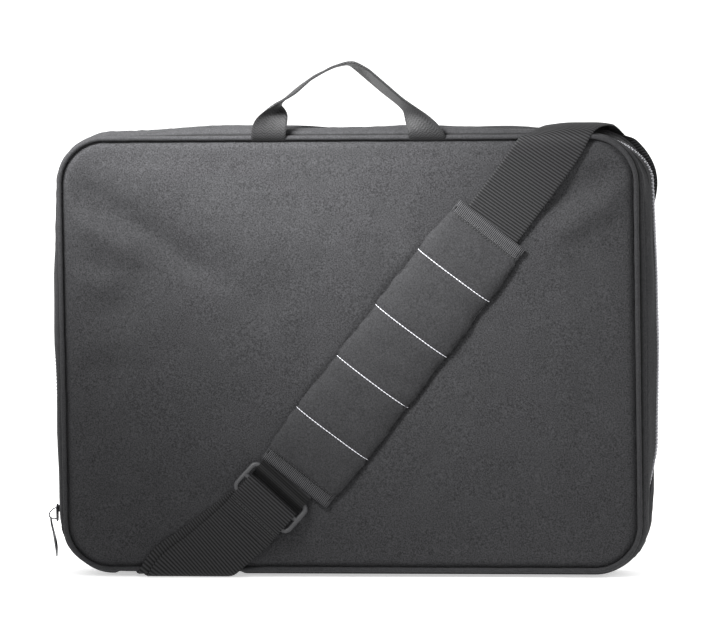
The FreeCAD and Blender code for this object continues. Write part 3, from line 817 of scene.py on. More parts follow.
def wrap_webbing(name, profile, stations, rib=0.34, shift=0.0, slant=0.0, drop=None):
    """Webbing laid over a (y, z) profile; a station is (x, y, z, angle) or its two edge points."""
    v_marks, line = profile
    edges = np.array([flat_edges(profile, station) for station in stations])
    marks = lengths_along(edges.mean(axis=1))
    s = run(0, marks[-1], STRAP_STEP)
    left, right = (soften_track(read_at(s, marks, edges[:, k]), 7.0 / STRAP_STEP) for k in range(2))
    tangent = unit_rows(np.gradient(line, axis=0))
    even = np.linspace(0, 1, 25)
    across = 0.6 * (0.5 - 0.5 * np.cos(even * math.pi)) + 0.4 * even
    lines, pairs = [], []
    for face, w in faces_and_places(across):
        x, place_on = (left + (right - left) * w).T
        y, z = read_at(place_on, v_marks, line).T
        ty, tz = read_at(place_on, v_marks, tangent).T
        size = np.hypot(ty, tz)
        phase = s + shift + slant * (w - 0.5)
        wave = 0.5 + 0.5 * np.cos(TAU * phase / RIB)
        tall = face * (STRAP_THICK / 2 - rib + rib * wave) * rounding(w)
        if drop is not None:
            z = z - drop(x, y, z)
        lines.append(np.stack([x, y - tz / size * tall, z + ty / size * tall], 1))
        pairs.append(np.stack([phase * MM, 0 * s + w * STRAP_WIDTH * MM], 1))
    return tube(name, rings_of(lines), WEBBING, rings_of(pairs))


def split_at(piece, height, upper, lower):
    """Cuts a piece at a height in millimetres into two closed pieces with the given names."""
    pieces = []
    for name, keep_up in ((upper, True), (lower, False)):
        mesh = piece.data.copy()
        mesh.name = name
        build = bmesh.new()
        build.from_mesh(mesh)
        result = bmesh.ops.bisect_plane(
            build,
            geom=build.verts[:] + build.edges[:] + build.faces[:],
            plane_co=(0, 0, height * MM),
            plane_no=(0, 0, 1),
            clear_inner=keep_up,
            clear_outer=not keep_up,
        )
        rim = [e for e in result["geom_cut"] if isinstance(e, bmesh.types.BMEdge)]
        bmesh.ops.holes_fill(build, edges=rim, sides=0)
        bmesh.ops.recalc_face_normals(build, faces=build.faces)
        crease_edges(build)
        build.to_mesh(mesh)
        build.free()
        pieces.append(show(name, mesh))
    whole = piece.data
    bpy.data.objects.remove(piece)
    bpy.data.meshes.remove(whole)
    return pieces


def front_point(x0, z0, angle, along, side, out):
    """Point on the front face in a strap's own directions; places may be numbers or arrays."""
    turn = math.radians(angle)
    x = x0 + along * math.cos(turn) - side * math.sin(turn)
    z = z0 + along * math.sin(turn) + side * math.cos(turn)
    return (x, -PANEL_Y - out + 0 * x, z)


# Origin on the front face (x, z) and slope in degrees of the buckle and of the pad's upper end.
BUCKLE = (-65.0, 67.0, 47.5)
PAD_TOP = (120.0, 290.0, 51.8)
FRONT = (0, -1, 0)
BACK = (0, 1, 0)


def buckle_cut(along, out, slope=0.0):
    """Cross-section (left, right, normal) of the strap near the buckle."""
    turn = math.radians(BUCKLE[2])
    normal = (-slope * math.cos(turn), -1, -slope * math.sin(turn))
    left, right = (front_point(*BUCKLE, along, side, out) for side in (STRAP_HALF, -STRAP_HALF))
    return left, right, normal


def corner_drop(x, y, z):
    """The strap sinks a little at its left edge and where the case's corner falls away."""
    over = np.clip(x - FLAT, 0.0, RADIUS)
    bend = RADIUS + 1.0
    fall = 0.5 * (bend - np.sqrt(bend**2 - over**2)) * (1 - smooth(26.5, 29.2, y))
    left = 3.4 * (1 - smooth(146, 184, x)) * smooth(361, 369, z)
    return fall * smooth(-34, -10, y) + left


# The (y, z) line the shoulder webbing lies on: up the front, over the top edge and down the back.
UPPER_LINE = [
    (-29.2, 60), (-29.2, 350), (-28.8, 357), (-27, 362), (-22, 366.6), (-12, 369.8), (0, 370.8),
    (12, 369.8), (22, 366.8), (27.5, 362), (29.3, 354), (29.3, 348), (28.6, 220),
]
UPPER_PATH = [
    (-51.2, -29.2, 82.1, 47.5), (-24.5, -29.2, 111.2, 49), (20, -29.2, 162.9, 51.8), (75, -29.2, 232.8, 51.8),
    (120, -29.2, 290, 52.5), (144, -29.2, 321, 53), (167, -29.0, 352, 54.5), (176, -25, 365, 57),
    (187, 0, 370.8, 61), (197, 22, 366.8, 60),
    ((176, 27.5, 362), (216, 22, 366.8)), ((184, 29.3, 348), (225, 27.5, 362)),
    ((192, 29.3, 334), (239.5, 29.3, 349)), ((198.5, 29.3, 317), (248.6, 29.3, 334)),
    ((202, 29.2, 300), (251, 29.2, 318)), ((204, 29, 283), (247.5, 29, 302)),
    ((208, 28.8, 266), (242, 28.8, 284)), ((213, 28.6, 248), (240.5, 28.6, 262)),
]
# Along the strap, out from the panel, and slope, where the webbing climbs over the buckle's upper bar.
BUCKLE_PASS = (
    (20.8, 3.2), (18.6, 4.2, 0.5), (15.4, 8.0, 0.4), (13.2, 8.6),
    (10.4, 7.6, -0.8), (6.2, 3.2, -0.8), (3.6, 1.9, -0.2), (-4.5, 1.85),
)


def make_strap():
    """Every run of the shoulder webbing."""
    profile = soft_profile(UPPER_LINE, 2.2)
    piece = wrap_webbing("strap_upper_webbing", profile, UPPER_PATH, drop=corner_drop, slant=-2.0)
    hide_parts("strap_front_run", "strap_over_top", "strap_back_right")
    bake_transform(piece)
    over = [buckle_cut(*place_over) for place_over in BUCKLE_PASS]
    # The run through the buckle takes the darker copy of the webbing: painted shade below the pad's end.
    piece = make_webbing("strap_through_buckle", over, PAINTED_SHADE_WEBBING, soften=1.0)
    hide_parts("strap_buckle_pass")
    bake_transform(piece)
    make_lower_straps()
    make_ring_straps()
    make_sewn_end()
    make_buckle()


# Middle of the ring on the back (x, z) and its slope in degrees; then how far out it is, the distance of
# its bars from its middle, and the radius at which webbing turns round a bar.
RING = (-208.0, 250.0, 101.5)
RING_OUT = 5.9
RING_BAR = 7.0
RING_BEND = 3.05
RING_STRAP_HALF = 24.6


def ring_middle(distance, y):
    """Middle of the strap on the back, measured down from the ring."""
    turn = math.radians(RING[2])
    return (RING[0] - distance * math.cos(turn), y, RING[1] - distance * math.sin(turn))


INNER_LINE = [
    (-27.9, 120), (-27.9, 6.2), (-27.3, 3.7), (-24.6, 2.75),
    (24.8, 2.75), (27.2, 3.9), (28.2, 6.5), (28.3, 260),
]
INNER_PATH = [
    (-61, -27.9, 71, 132), (-80, -27.9, 54.0, 137), (-103, -27.9, 37.0, 141), (-129, -27.9, 17.6, 145),
    (-149, -27.5, 5.0, 142), (-157, -16, 2.75, 126), (-160, 0, 2.75, 112), (-162, 16, 2.75, 104),
    (-163.5, 27.2, 3.9, 100),
]
OUTER_LINE = [
    (-30.4, 120), (-30.2, 20), (-30.1, 5), (-28.5, 2.0), (-25.2, 0.95),
    (25.2, 0.95), (29.0, 2.2), (30.4, 6), (30.6, 260),
]
OUTER_PATH = [
    (-85.9, -30.3, 44.2, 134), (-107, -30.2, 25.6, 138), (-122, -30.1, 13.4, 140), (-140, -28.5, 2.0, 137),
    (-147, -20, 0.95, 127), (-154, 0, 0.95, 114), (-159, 20, 0.95, 105), (-162.5, 29, 2.2, 100),
]
# Distances below the ring where the straight run up the back has its cross-sections.
BACK_RUN = (225, 150, 34)
# Height at which the run on a face is parted from the run under the base.
FOLD_HEIGHT = 10.3


def make_lower_straps():
    """Both layers from the buckle down, under the base and up the back."""
    layers = (
        ("inner", INNER_LINE, INNER_PATH, 28.2, 9.0),
        ("outer", OUTER_LINE, OUTER_PATH, 30.4, 2.0),
    )
    for layer, line, path, back_y, shift in layers:
        path = path + [(*ring_middle(d, back_y), RING[2]) for d in BACK_RUN]
        whole = wrap_webbing(layer + "_whole", soft_profile(line), path, shift=shift, rib=0.22)
        face, under = split_at(whole, FOLD_HEIGHT, "strap_lower_" + layer, "strap_under_" + layer)
        front_part, back_part = split_front(face)
        if layer == "inner":
            place(front_part, "front_shell", "webbing", "strap_front_lower")
        else:
            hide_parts("strap_return")
            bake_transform(front_part)
        place(back_part, "back_shell", "webbing")
        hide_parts("strap_fold_" + layer, "strap_back_" + layer)
        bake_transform(under)


def split_front(piece):
    """Parts the run on the front face from the run on the back."""
    back = piece.data.copy()
    back.name = piece.name.replace("lower", "rise")
    for mesh, front in ((piece.data, True), (back, False)):
        build = bmesh.new()
        build.from_mesh(mesh)
        gone = [v for v in build.verts if (v.co.y > 0) == front]
        bmesh.ops.delete(build, geom=gone, context="VERTS")
        build.to_mesh(mesh)
        build.free()
    return piece, show(back.name, back)


def ring_cut(distance, out, normal=BACK):
    """Cross-section of the back-left strap, measured down from the ring."""
    turn = math.radians(RING[2])
    x, y, z = ring_middle(distance, PANEL_Y + out)
    side_x, side_z = math.sin(turn) * RING_STRAP_HALF, -math.cos(turn) * RING_STRAP_HALF
    return (x - side_x, y, z - side_z), (x + side_x, y, z + side_z), normal


def ring_turn(sign):
    """Cross-sections of webbing turning round one bar of the ring, from its outer side inwards."""
    turn = math.radians(RING[2])
    rows = []
    for a in np.radians((90, 60, 30, 0, -30, -60, -90)):
        up = math.cos(a) * sign
        normal = (up * math.cos(turn), math.sin(a), up * math.sin(turn))
        distance = sign * (RING_BAR - RING_BEND * math.cos(a))
        rows.append(ring_cut(distance, RING_OUT + RING_BEND * math.sin(a), normal))
    return rows


def turned_over(rows):
    """The same cross-sections with their normals reversed."""
    return [(left, right, tuple(-v for v in normal)) for left, right, normal in rows]


def make_ring_straps():
    """The doubled strap's last length, turned round the ring's lower bar, and the tab on its upper bar."""
    inner = [ring_cut(34.2, 2.2), ring_cut(20, 2.2), ring_cut(9.6, 2.5)]
    loop = [ring_cut(34.2, 4.5), ring_cut(24, 4.6), ring_cut(14, 7.6, (0.0, 1, 0.3)), ring_cut(10, 8.9)]
    loop += ring_turn(1) + [ring_cut(9.6, 2.9, FRONT)]
    tab = [ring_cut(-46, 1.3), ring_cut(-20, 1.3), ring_cut(-10, 2.85)] + turned_over(ring_turn(-1)[::-1])
    tab += [ring_cut(-11, 8.4, FRONT), ring_cut(-22, 3.2, FRONT), ring_cut(-46, 3.1, FRONT)]
    runs = (
        ("strap_ring_inner", inner, 1.0, []),
        ("strap_ring_loop", loop, 1.0, []),
        ("strap_tab_webbing", tab, 0.8, ["strap_tab_left"]),
    )
    for name, rows, soften, nodes in runs:
        place(make_webbing(name, rows, WEBBING, soften=soften), "back_shell", "webbing", *nodes)


BUCKLE_TILT = math.radians(8.5)
BUCKLE_OUT = 7.4
BUCKLE_HALF_LONG = 28.6
BUCKLE_HALF_SHORT = 13.4
BUCKLE_CORNER = 4.8
SHORT_REACH = BUCKLE_HALF_SHORT - BUCKLE_CORNER
LONG_REACH = BUCKLE_HALF_LONG - BUCKLE_CORNER
WIRE_RADIUS = 2.1


def buckle_place(along, side, out):
    """World point of a place in the tilted buckle's own plane."""
    flat = along * math.cos(BUCKLE_TILT) + out * math.sin(BUCKLE_TILT)
    raised = BUCKLE_OUT - along * math.sin(BUCKLE_TILT) + out * math.cos(BUCKLE_TILT)
    return front_point(*BUCKLE, flat, side, raised)


def buckle_path():
    """Middle line of the wire frame: four arcs joined by straight runs in short steps."""
    loop = []
    for sx, sy, first in ((1, 1, 0), (-1, 1, 90), (-1, -1, 180), (1, -1, 270)):
        middle = np.array((sx * SHORT_REACH, sy * LONG_REACH))
        for turn in np.radians(np.linspace(first, first + 90, 9)):
            loop.append(middle + BUCKLE_CORNER * np.array((math.cos(turn), math.sin(turn))))
    path = []
    for a, b in zip(loop, loop[1:] + loop[:1]):
        steps = max(1, int(np.linalg.norm(b - a) / 2.0))
        path += [a + (b - a) * k / steps for k in range(steps)]
    return np.array(path)


def make_buckle():
    """Bent wire frame with rounded corners, and its welded middle bar."""
    path = buckle_path()
    ways = unit_rows(np.roll(path, -1, axis=0) - np.roll(path, 1, axis=0))
    circle = [(WIRE_RADIUS * math.cos(a), WIRE_RADIUS * math.sin(a)) for a in around(16)]
    rings = []
    for (along, side), (way_along, way_side) in zip(path, ways):
        rings.append([buckle_place(along + way_side * c, side - way_along * c, s) for c, s in circle])
    wire = tube("wire", np.array(rings), WIRE, closed=True)
    rings = []
    for side in np.linspace(-BUCKLE_HALF_LONG + 0.6, BUCKLE_HALF_LONG - 0.6, 12):
        rings.append([buckle_place(0.98 * c, side, 0.98 * s) for c, s in circle])
    bar = tube("bar", np.array(rings), WIRE)
    place(join("buckle_wire_frame", [wire, bar]), "buckle", "wire", "strap_buckle")


SEWN_BEND = 3.1


def make_sewn_end():
    """The end turned round the middle bar and sewn down, and the layer below it."""
    rows = [buckle_cut(-33.2, 4.0), buckle_cut(-24, 4.0), buckle_cut(-8, 4.0)]
    turn = math.radians(BUCKLE[2])
    for a in np.radians((-90, -60, -30, 0, 30, 60, 90)):
        along, out = SEWN_BEND * math.cos(a), BUCKLE_OUT + SEWN_BEND * math.sin(a)
        normal = (-math.cos(a) * math.cos(turn), math.sin(a), -math.cos(a) * math.sin(turn))
        rows.append((*buckle_cut(along, out)[:2], normal))
    tail = ((-6, 11.5), (-13.2, 12.4), (-19, 10.4), (-25, 6.3), (-33.6, 5.9))
    rows += [(*buckle_cut(along, out)[:2], BACK) for along, out in tail]
    piece = make_webbing("strap_sewn_loop", rows, WEBBING, soften=0.9, flat=67.0)
    place(piece, "buckle", "webbing", "strap_sewn_end")
    sewn = []
    for along, out in ((-20.5, 10.3), (-23.5, 8.3)):
        line = [front_point(*BUCKLE, along, side, out) for side in np.linspace(-22, 22, 30)]
        sewn += stitch_run(line, FRONT, 3.0, 0.8)
    place(capsules("sewn_end_stitches", sewn, 0.7, 0.5, DARK_THREAD), "buckle", "thread")


# ---------------------------------------------------------------- handle

# The two edge points across the handle webbing, from its left sewn end over the top to its right one.
HANDLE = (
    ((-77.4, -23.5, 360.0), (-49.2, -23.5, 360.0)),
    ((-77.2, -27.0, 362.3), (-49.0, -27.0, 362.3)),
    ((-76.8, -28.4, 367.0), (-48.2, -28.2, 367.0)),
    ((-75.6, -29.2, 372.5), (-47.2, -27.0, 374.0)),
    ((-72.4, -31.4, 378.4), (-46.8, -23.4, 380.4)),
    ((-65.0, -33.8, 384.4), (-51.2, -15.0, 385.6)),
    ((-56.0, -34.2, 390.2), (-56.0, -8.0, 388.0)),
    ((-48.0, -33.6, 393.8), (-47.6, -6.0, 396.0)),
    ((-39.5, -33.0, 398.6), (-39.5, -5.0, 402.6)),
    ((-26.6, -32.5, 410.0), (-26.6, -4.0, 411.4)),
    ((-10.0, -32.0, 419.6), (-10.0, -3.5, 418.6)),
    ((2.0, -32.0, 423.6), (0.0, -3.2, 420.4)),
    ((9.0, -32.0, 424.6), (3.0, -3.5, 419.0)),
    ((20.9, -32.0, 418.3), (13.2, -4.0, 410.2)),
    ((35.0, -32.0, 406.0), (27.5, -5.0, 398.0)),
    ((48.0, -32.0, 394.5), (41.5, -8.0, 387.6)),
    ((58.0, -31.5, 387.5), (47.0, -14.0, 383.0)),
    ((68.5, -30.3, 380.8), (48.8, -20.5, 378.0)),
    ((77.0, -29.2, 373.2), (50.8, -26.0, 371.4)),
    ((81.5, -28.4, 366.8), (52.6, -28.0, 366.8)),
    ((82.6, -27.0, 362.3), (52.3, -27.0, 362.3)),
    ((82.8, -23.5, 360.0), (52.6, -23.5, 360.0)),
)


def make_handle():
    """One length of herringbone webbing from seam to seam, turned edge-on above."""
    edges = np.array(HANDLE, float)
    travel = np.gradient(edges.mean(axis=1), axis=0)
    stations = [(left, right, np.cross(right - left, way)) for (left, right), way in zip(edges, travel)]
    shape = {"thick": 1.9, "rib": 0.0, "soften": 2.2, "columns": 21}
    piece = make_webbing("carry_handle_webbing", stations, HERRINGBONE, **shape)
    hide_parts("handle_bases", "handle_loop")
    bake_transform(piece)


def wear_cad():
    """Black wire for the ring, the one CAD part that stays visible."""
    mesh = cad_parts["strap_ring"].data
    mesh.materials.clear()
    mesh.materials.append(WIRE)


# ---------------------------------------------------------------- shoulder pad

# Length and half width of the shoulder pad, and half the length of the tape over its ends.
PAD_LONG = 268.0
PAD_HALF = 36.0
HEM_HALF = 33.6


def pad_place(along, side, out):
    """World x, y, z of places in the pad's own directions: down from its upper end, across, out."""
    return front_point(*PAD_TOP, -along, side, out)


def read_points(piece):
    """The mesh's points in millimetres."""
    flat = np.zeros(len(piece.data.vertices) * 3, np.float32)
    piece.data.vertices.foreach_get("co", flat)
    return flat.reshape(-1, 3) / MM


def move_points(piece, points):
    """Moves the mesh's points to places in millimetres."""
    piece.data.vertices.foreach_set("co", (points * MM).astype(np.float32).ravel())


def pad_blank():
    """Closed block of pad cloth, a little smaller than the finished pad."""
    s = run(2.0, PAD_LONG - 2.0, 5.0)
    w = run(-PAD_HALF + 1.6, PAD_HALF - 1.6, 5.0)
    across, along = np.meshgrid(w, s)
    edge = np.minimum(np.minimum(along, PAD_LONG - along) / 18.0, (PAD_HALF - np.abs(across)) / 12.0)
    front = np.stack([along, across, 5.6 + 3.4 * smooth(0.0, 1.0, edge)], -1)
    rear = np.stack([along, across, 4.0 + 0 * across], -1)
    return closed_sheet("shoulder_pad_cover", front, rear, PAD, np.stack([along, across], -1) * MM)


def inflate(piece, cap, pressure, frames):
    """Swells a closed piece with the cloth solver and keeps the result, each point moving at most cap."""
    scene = bpy.context.scene
    remesh = piece.modifiers.new("remesh", "REMESH")
    remesh.mode = "VOXEL"
    remesh.voxel_size = 0.004
    bake_modifiers(piece)
    rest = np.array([v.co[:] for v in piece.data.vertices])
    cloth = piece.modifiers.new("cloth", "CLOTH")
    settings = cloth.settings
    settings.quality = 6
    settings.mass = 0.3
    settings.tension_stiffness = settings.compression_stiffness = 20
    settings.bending_stiffness = 0.6
    settings.use_pressure = True
    settings.uniform_pressure_force = pressure
    settings.effector_weights.gravity = 0.0
    held = [v.index for v in piece.data.vertices if v.co.z < 0.0048]
    group = piece.vertex_groups.new(name="held")
    group.add(held, 1.0, "REPLACE")
    settings.vertex_group_mass = "held"
    cloth.point_cache.frame_start = 1
    cloth.point_cache.frame_end = frames
    for step in range(1, frames + 1):
        scene.frame_set(step)
    bake_modifiers(piece)
    moved = np.array([v.co[:] for v in piece.data.vertices]) - rest
    size = np.linalg.norm(moved, axis=1)
    share = np.minimum(1.0, cap / np.maximum(size, 1e-9))
    piece.data.vertices.foreach_set("co", (rest + moved * share[:, None]).astype(np.float32).ravel())
    piece.vertex_groups.clear()
    scene.frame_set(1)
    subdivide = piece.modifiers.new("soften", "SUBSURF")
    subdivide.levels = subdivide.render_levels = 1
    bake_modifiers(piece)
    piece.data.polygons.foreach_set("use_smooth", [True] * len(piece.data.polygons))


def bake_modifiers(piece):
    """Replaces the mesh by what its modifiers make of it."""
    graph = bpy.context.evaluated_depsgraph_get()
    made = bpy.data.meshes.new_from_object(piece.evaluated_get(graph), depsgraph=graph)
    old = piece.data
    piece.modifiers.clear()
    piece.data = made
    bpy.data.meshes.remove(old)


# Distances of the sewn rows from the pad's upper end.
STITCH_ROWS = (51.5, 109.3, 162.1, 216.5)


def make_pad():
    """Quilted pad: swollen cover, sewn rows, edge seams and bound ends."""
    cover = pad_blank()
    inflate(cover, cap=0.0035, pressure=2.5, frames=20)
    along, side, out = read_points(cover).T
    upper = smooth(4.6, 6.5, out)
    ends = np.minimum(along, PAD_LONG - along)
    press_down = (1 - smooth(9.0, 26.0, ends)) * np.clip(out - 7.4, 0, None) * 0.9
    sunk = sum(0.9 * bump(along - row - (side * 0.02), 2.2) for row in STITCH_ROWS)
    quilt = 0.18 * ripple(along, side, 24.0, 81) + 0.10 * ripple(along, side, 9.0, 82)
    out = out - upper * (press_down + sunk) + upper * quilt
    out = np.minimum(out, 14.5) - upper * 2.4 * (np.abs(side) / PAD_HALF) ** 2.5
    side = fill_width(along, side, out) * pad_taper(ends)
    move_points(cover, np.stack([along, side, np.maximum(out, 3.6)], 1))
    surface = pad_surface(cover)
    move_points(cover, np.stack(pad_place(*read_points(cover).T), 1))
    fix_normals(cover)
    place(cover, "shoulder_pad", "pad_fabric", "pad_cover", "pad_foam")
    make_pad_rows(surface)
    make_pad_ends(surface)
    make_pad_edges()
    make_pad_backing()


def pad_taper(ends):
    """The pad's share of its full width, by the distance from its nearer end."""
    return 1 - 0.062 * (1 - smooth(0.0, 44.0, ends))


def fill_width(along, side, out):
    """Spreads the swollen face back to the pad's full width."""
    marks = np.linspace(0, PAD_LONG, 28)
    upper = out > 5.2
    reach = []
    for mark in marks:
        near = upper & (np.abs(along - mark) < 9.0)
        reach.append(np.abs(side[near]).max() if near.any() else PAD_HALF - 1.6)
    wide = np.interp(along, marks, reach)
    grown = side * (PAD_HALF - 0.4) / wide
    lower = 1 - smooth(4.0, 5.2, out)
    return grown * (1 - lower) + side * ((PAD_HALF - 0.6) / (PAD_HALF - 1.6)) * lower


def pad_surface(cover):
    """Height of the pad's face at given places across it, by looking straight down on it."""
    build = bmesh.new()
    build.from_mesh(cover.data)
    tree = BVHTree.FromBMesh(build)
    build.free()

    def height(along, side):
        hit = tree.ray_cast(Vector((along * MM, side * MM, 0.05)), Vector((0, 0, -1)))
        return hit[0].z / MM if hit[0] else 5.5

    return height


def capsules(name, ends, thick, tall, material):
    """Short sewn stitches between pairs of points; each pair carries its outward direction."""
    points, faces, pairs = [], [], []
    ring = [(math.cos(a), math.sin(a)) for a in around(6)]
    profile = ((0.0, 0.35), (0.16, 0.85), (0.5, 1.0), (0.84, 0.85), (1.0, 0.35))
    for a, b, normal in ends:
        way = b - a
        length = np.linalg.norm(way)
        flat = np.cross(way / length, normal)
        faces += capped_faces(len(profile), len(ring), len(points))
        for t, share in profile:
            arch = tall * 0.5 * math.sin(t * math.pi)
            for c, d in ring:
                across, up = thick / 2 * share * c, tall / 2 * share * d + arch
                points.append(a + way * t + flat * across + normal * up)
                pairs.append((t * length * MM, c * thick * MM))
    piece = add_mesh(name, points, faces, material, pairs)
    fix_normals(piece)
    return piece


def stitch_run(points, normals, pitch, gap):
    """Stitch ends at an even pitch along a line of points; normals are one direction, or one per point."""
    points = np.array(points, float)
    normals = np.broadcast_to(np.array(normals, float), points.shape)
    marks = lengths_along(points)
    ends = []
    for index in range(int(marks[-1] / pitch)):
        a, b = index * pitch, (index + 1) * pitch - gap
        start, end = read_at(a, marks, points), read_at(b, marks, points)
        normal = read_at((a + b) / 2, marks, normals)
        ends.append((start, end, normal / np.linalg.norm(normal)))
    return ends


def make_pad_rows(surface):
    """The rows of light stitching, which dip over the pad's edges."""
    ends = []
    for row in STITCH_ROWS:
        line = []
        for side in np.linspace(-PAD_HALF - 0.6, PAD_HALF + 0.6, 60):
            held = min(max(side, -PAD_HALF + 1.8), PAD_HALF - 1.8)
            out = surface(row, held) + 0.25 - 0.9 * abs(side - held)
            line.append(pad_place(row + side * 0.02, side, out))
        ends += stitch_run(line, FRONT, 2.9, 0.12)
    place(capsules("pad_stitch_rows", ends, 0.68, 0.66, THREAD), "shoulder_pad", "thread", "pad_stitching")


def make_pad_ends(surface):
    """The tape folded over each end and its two seams."""
    seam = []
    for end, first, sign in (("upper", 0.0, 1), ("lower", PAD_LONG, -1)):
        tape = pad_hem(f"pad_hem_{end}_tape", first, sign, surface)
        place(tape, "shoulder_pad", "binding", "pad_hem_" + end)
        for offset, lift in ((8.2, 1.45), (10.6, 0.4)):
            row = first + sign * offset
            sides = np.linspace(-HEM_HALF + 2.0, HEM_HALF - 2.0, 40)
            line = [pad_place(row, side, surface(row, side) + lift) for side in sides]
            seam += stitch_run(line, FRONT, 2.6, 0.7)
    place(capsules("pad_hem_stitches", seam, 0.7, 0.5, DARK_THREAD), "shoulder_pad", "thread")


def make_pad_edges():
    """The rolled seam along each long edge."""
    s = run(1.0, PAD_LONG - 1.0, 2.0)
    taper = pad_taper(np.minimum(s, PAD_LONG - s))
    turns = around(10)
    for name, sign, nodes in (("right", -1, ["pad_side_seams"]), ("left", 1, [])):
        lines = []
        for turn in turns:
            side = sign * ((PAD_HALF - 1.5) * taper + 0.9 * math.cos(turn) + 0.12 * ripple(s, 0 * s, 8, 85))
            out = 3.9 + 1.3 * math.sin(turn) + 0.1 * ripple(s, 0 * s, 12, 86)
            lines.append(np.stack(pad_place(s, side, out), 1))
        seam = tube("pad_edge_seam_" + name, rings_of(lines), PAD_EDGE, uv_grid(turns, s))
        place(seam, "shoulder_pad", "pad_fabric", *nodes)


def make_pad_backing():
    """The cloth on the pad's inner face."""
    s, w = run(1.5, PAD_LONG - 1.5, 4.0), run(-PAD_HALF + 2.6, PAD_HALF - 2.6, 4.0)
    across, along = np.meshgrid(w, s)
    across = across * pad_taper(np.minimum(along, PAD_LONG - along))
    wave = 0.08 * ripple(along, across, 14, 88)
    front, rear = (np.stack(pad_place(along, across, out + wave), -1) for out in (2.25, 1.25))
    piece = closed_sheet("pad_backing_cloth", front, rear, PAD, np.stack([along, across], -1) * MM)
    place(piece, "shoulder_pad", "pad_fabric", "pad_backing")


def pad_hem(name, first, sign, surface):
    """Ribbed tape folded over one end of the pad."""
    w = run(-HEM_HALF, HEM_HALF, 0.233)
    held = np.clip(w, -HEM_HALF + 3.0, HEM_HALF - 3.0)
    rows = [first + sign * d for d in (9.6, 6.0, 3.0)]
    deep, middle, near = (np.array([surface(row, side) for side in held]) for row in rows)
    over = np.abs(w - held) * 0.55
    rib = 0.2 * np.cos(TAU * w / 1.4)
    profile = [
        (9.6, deep + 0.1 - over),
        (9.4, deep + 0.9 - over + rib * 0.6),
        (6.0, middle + 1.15 - over + rib),
        (3.0, near + 1.2 - over + rib),
        (0.6, near + 0.5 - over + rib),
        (-0.9, near * 0.62 + 1.6 - over * 0.6 + rib),
        (-1.1, 4.0),
        (-0.3, 2.5),
        (2.0, 2.3),
        (8.0, 2.3),
        (8.0, 3.4),
    ]
    lines = [np.stack(pad_place(first + sign * (d + 0 * w), w, out), 1) for d, out in profile]
    uv = uv_grid(np.arange(len(profile)) * 1.8, w)[..., ::-1]
    return tube(name, rings_of(lines), BINDING, uv)


# ---------------------------------------------------------------- sewing on the case


def make_seams():
    """Topstitching beside the piping, and the crossed box on the ring's tab."""
    for side, sign in (("front", -1), ("back", 1)):
        s = run(ZIP_START + 6, ZIP_END - 6, 1.6)
        line = gusset_grid(s, [sign * (SEAM_Y - 4.2)], 0.15, GUSSET_SEED[side])[0]
        data = SEAM.at(s)
        normals = np.stack([data[:, 2], 0 * s, data[:, 3]], 1)
        stitches = capsules(side + "_topstitch", stitch_run(line, normals, 3.4, 0.8), 0.55, 0.4, DARK_THREAD)
        place(stitches, side + "_shell", "thread")
    box = []
    corners = [(-14, -20), (-44, -20), (-44, 20), (-14, 20), (-14, -20), (-44, 20)]
    turn = math.radians(RING[2])
    for (d0, w0), (d1, w1) in zip(corners, corners[1:]):
        line = []
        for t in np.linspace(0, 1, 10):
            x, y, z = ring_middle(d0 + (d1 - d0) * t, PANEL_Y + 4.15)
            w = w0 + (w1 - w0) * t
            line.append((x + math.sin(turn) * w, y, z - math.cos(turn) * w))
        box += stitch_run(line, BACK, 3.0, 0.7)
    place(capsules("ring_tab_stitches", box, 0.8, 0.5, DARK_THREAD), "back_shell", "thread")


def make_end_tabs():
    """Folded tape sewn over each end of the zip."""
    y = np.linspace(-8.5, 8.5, 13)
    for side, start in (("left", ZIP_START - 6.0), ("right", ZIP_END - 7.0)):
        s = run(start, start + 13.0, 1.0)
        outer, inner = (gusset_grid(s, y, lift, GUSSET_SEED["bottom"], 0.0) for lift in (1.3, -0.6))
        tape = closed_sheet("zip_end_tape_" + side, outer, inner, BINDING, uv_grid(s, y))
        place(tape, "back_shell", "binding", "zip_end_tab_" + side)


def rounded_block(name, low, high, material, bevel):
    """Box with rounded edges between two corners in millimetres."""
    build = bmesh.new()
    bmesh.ops.create_cube(build, size=1.0)
    low, high = np.array(low, float), np.array(high, float)
    for vertex in build.verts:
        vertex.co = Vector(((low + high) / 2 + np.array(vertex.co[:]) * (high - low)) * MM)
    bmesh.ops.bevel(build, geom=build.edges[:], offset=bevel * MM, segments=2, profile=0.5, affect="EDGES")
    mesh = bpy.data.meshes.new(name)
    build.to_mesh(mesh)
    build.free()
    mesh.materials.append(material)
    return show(name, mesh)


def join(name, pieces):
    """One piece from several."""
    build = bmesh.new()
    for piece in pieces:
        build.from_mesh(piece.data)
    mesh = bpy.data.meshes.new(name)
    build.to_mesh(mesh)
    build.free()
    mesh.materials.append(pieces[0].data.materials[0])
    mesh.polygons.foreach_set("use_smooth", [True] * len(mesh.polygons))
    for piece in pieces:
        bpy.data.objects.remove(piece)
    return show(name, mesh)


# Half width of the slider's plates at each height, and the height they are scaled about.
SLIDER_OUTLINE = [(42.6, 3.2), (44.0, 4.3), (48.0, 4.6), (52.0, 4.9), (55.5, 4.4), (57.0, 2.8)]
SLIDER_MIDDLE = 49.8
SLIDER_X = -246.6
# The pull's foot rests near the case and its top reaches out to the bridge.
PULL_X = -250.1
PULL_TOP_X = -254.6


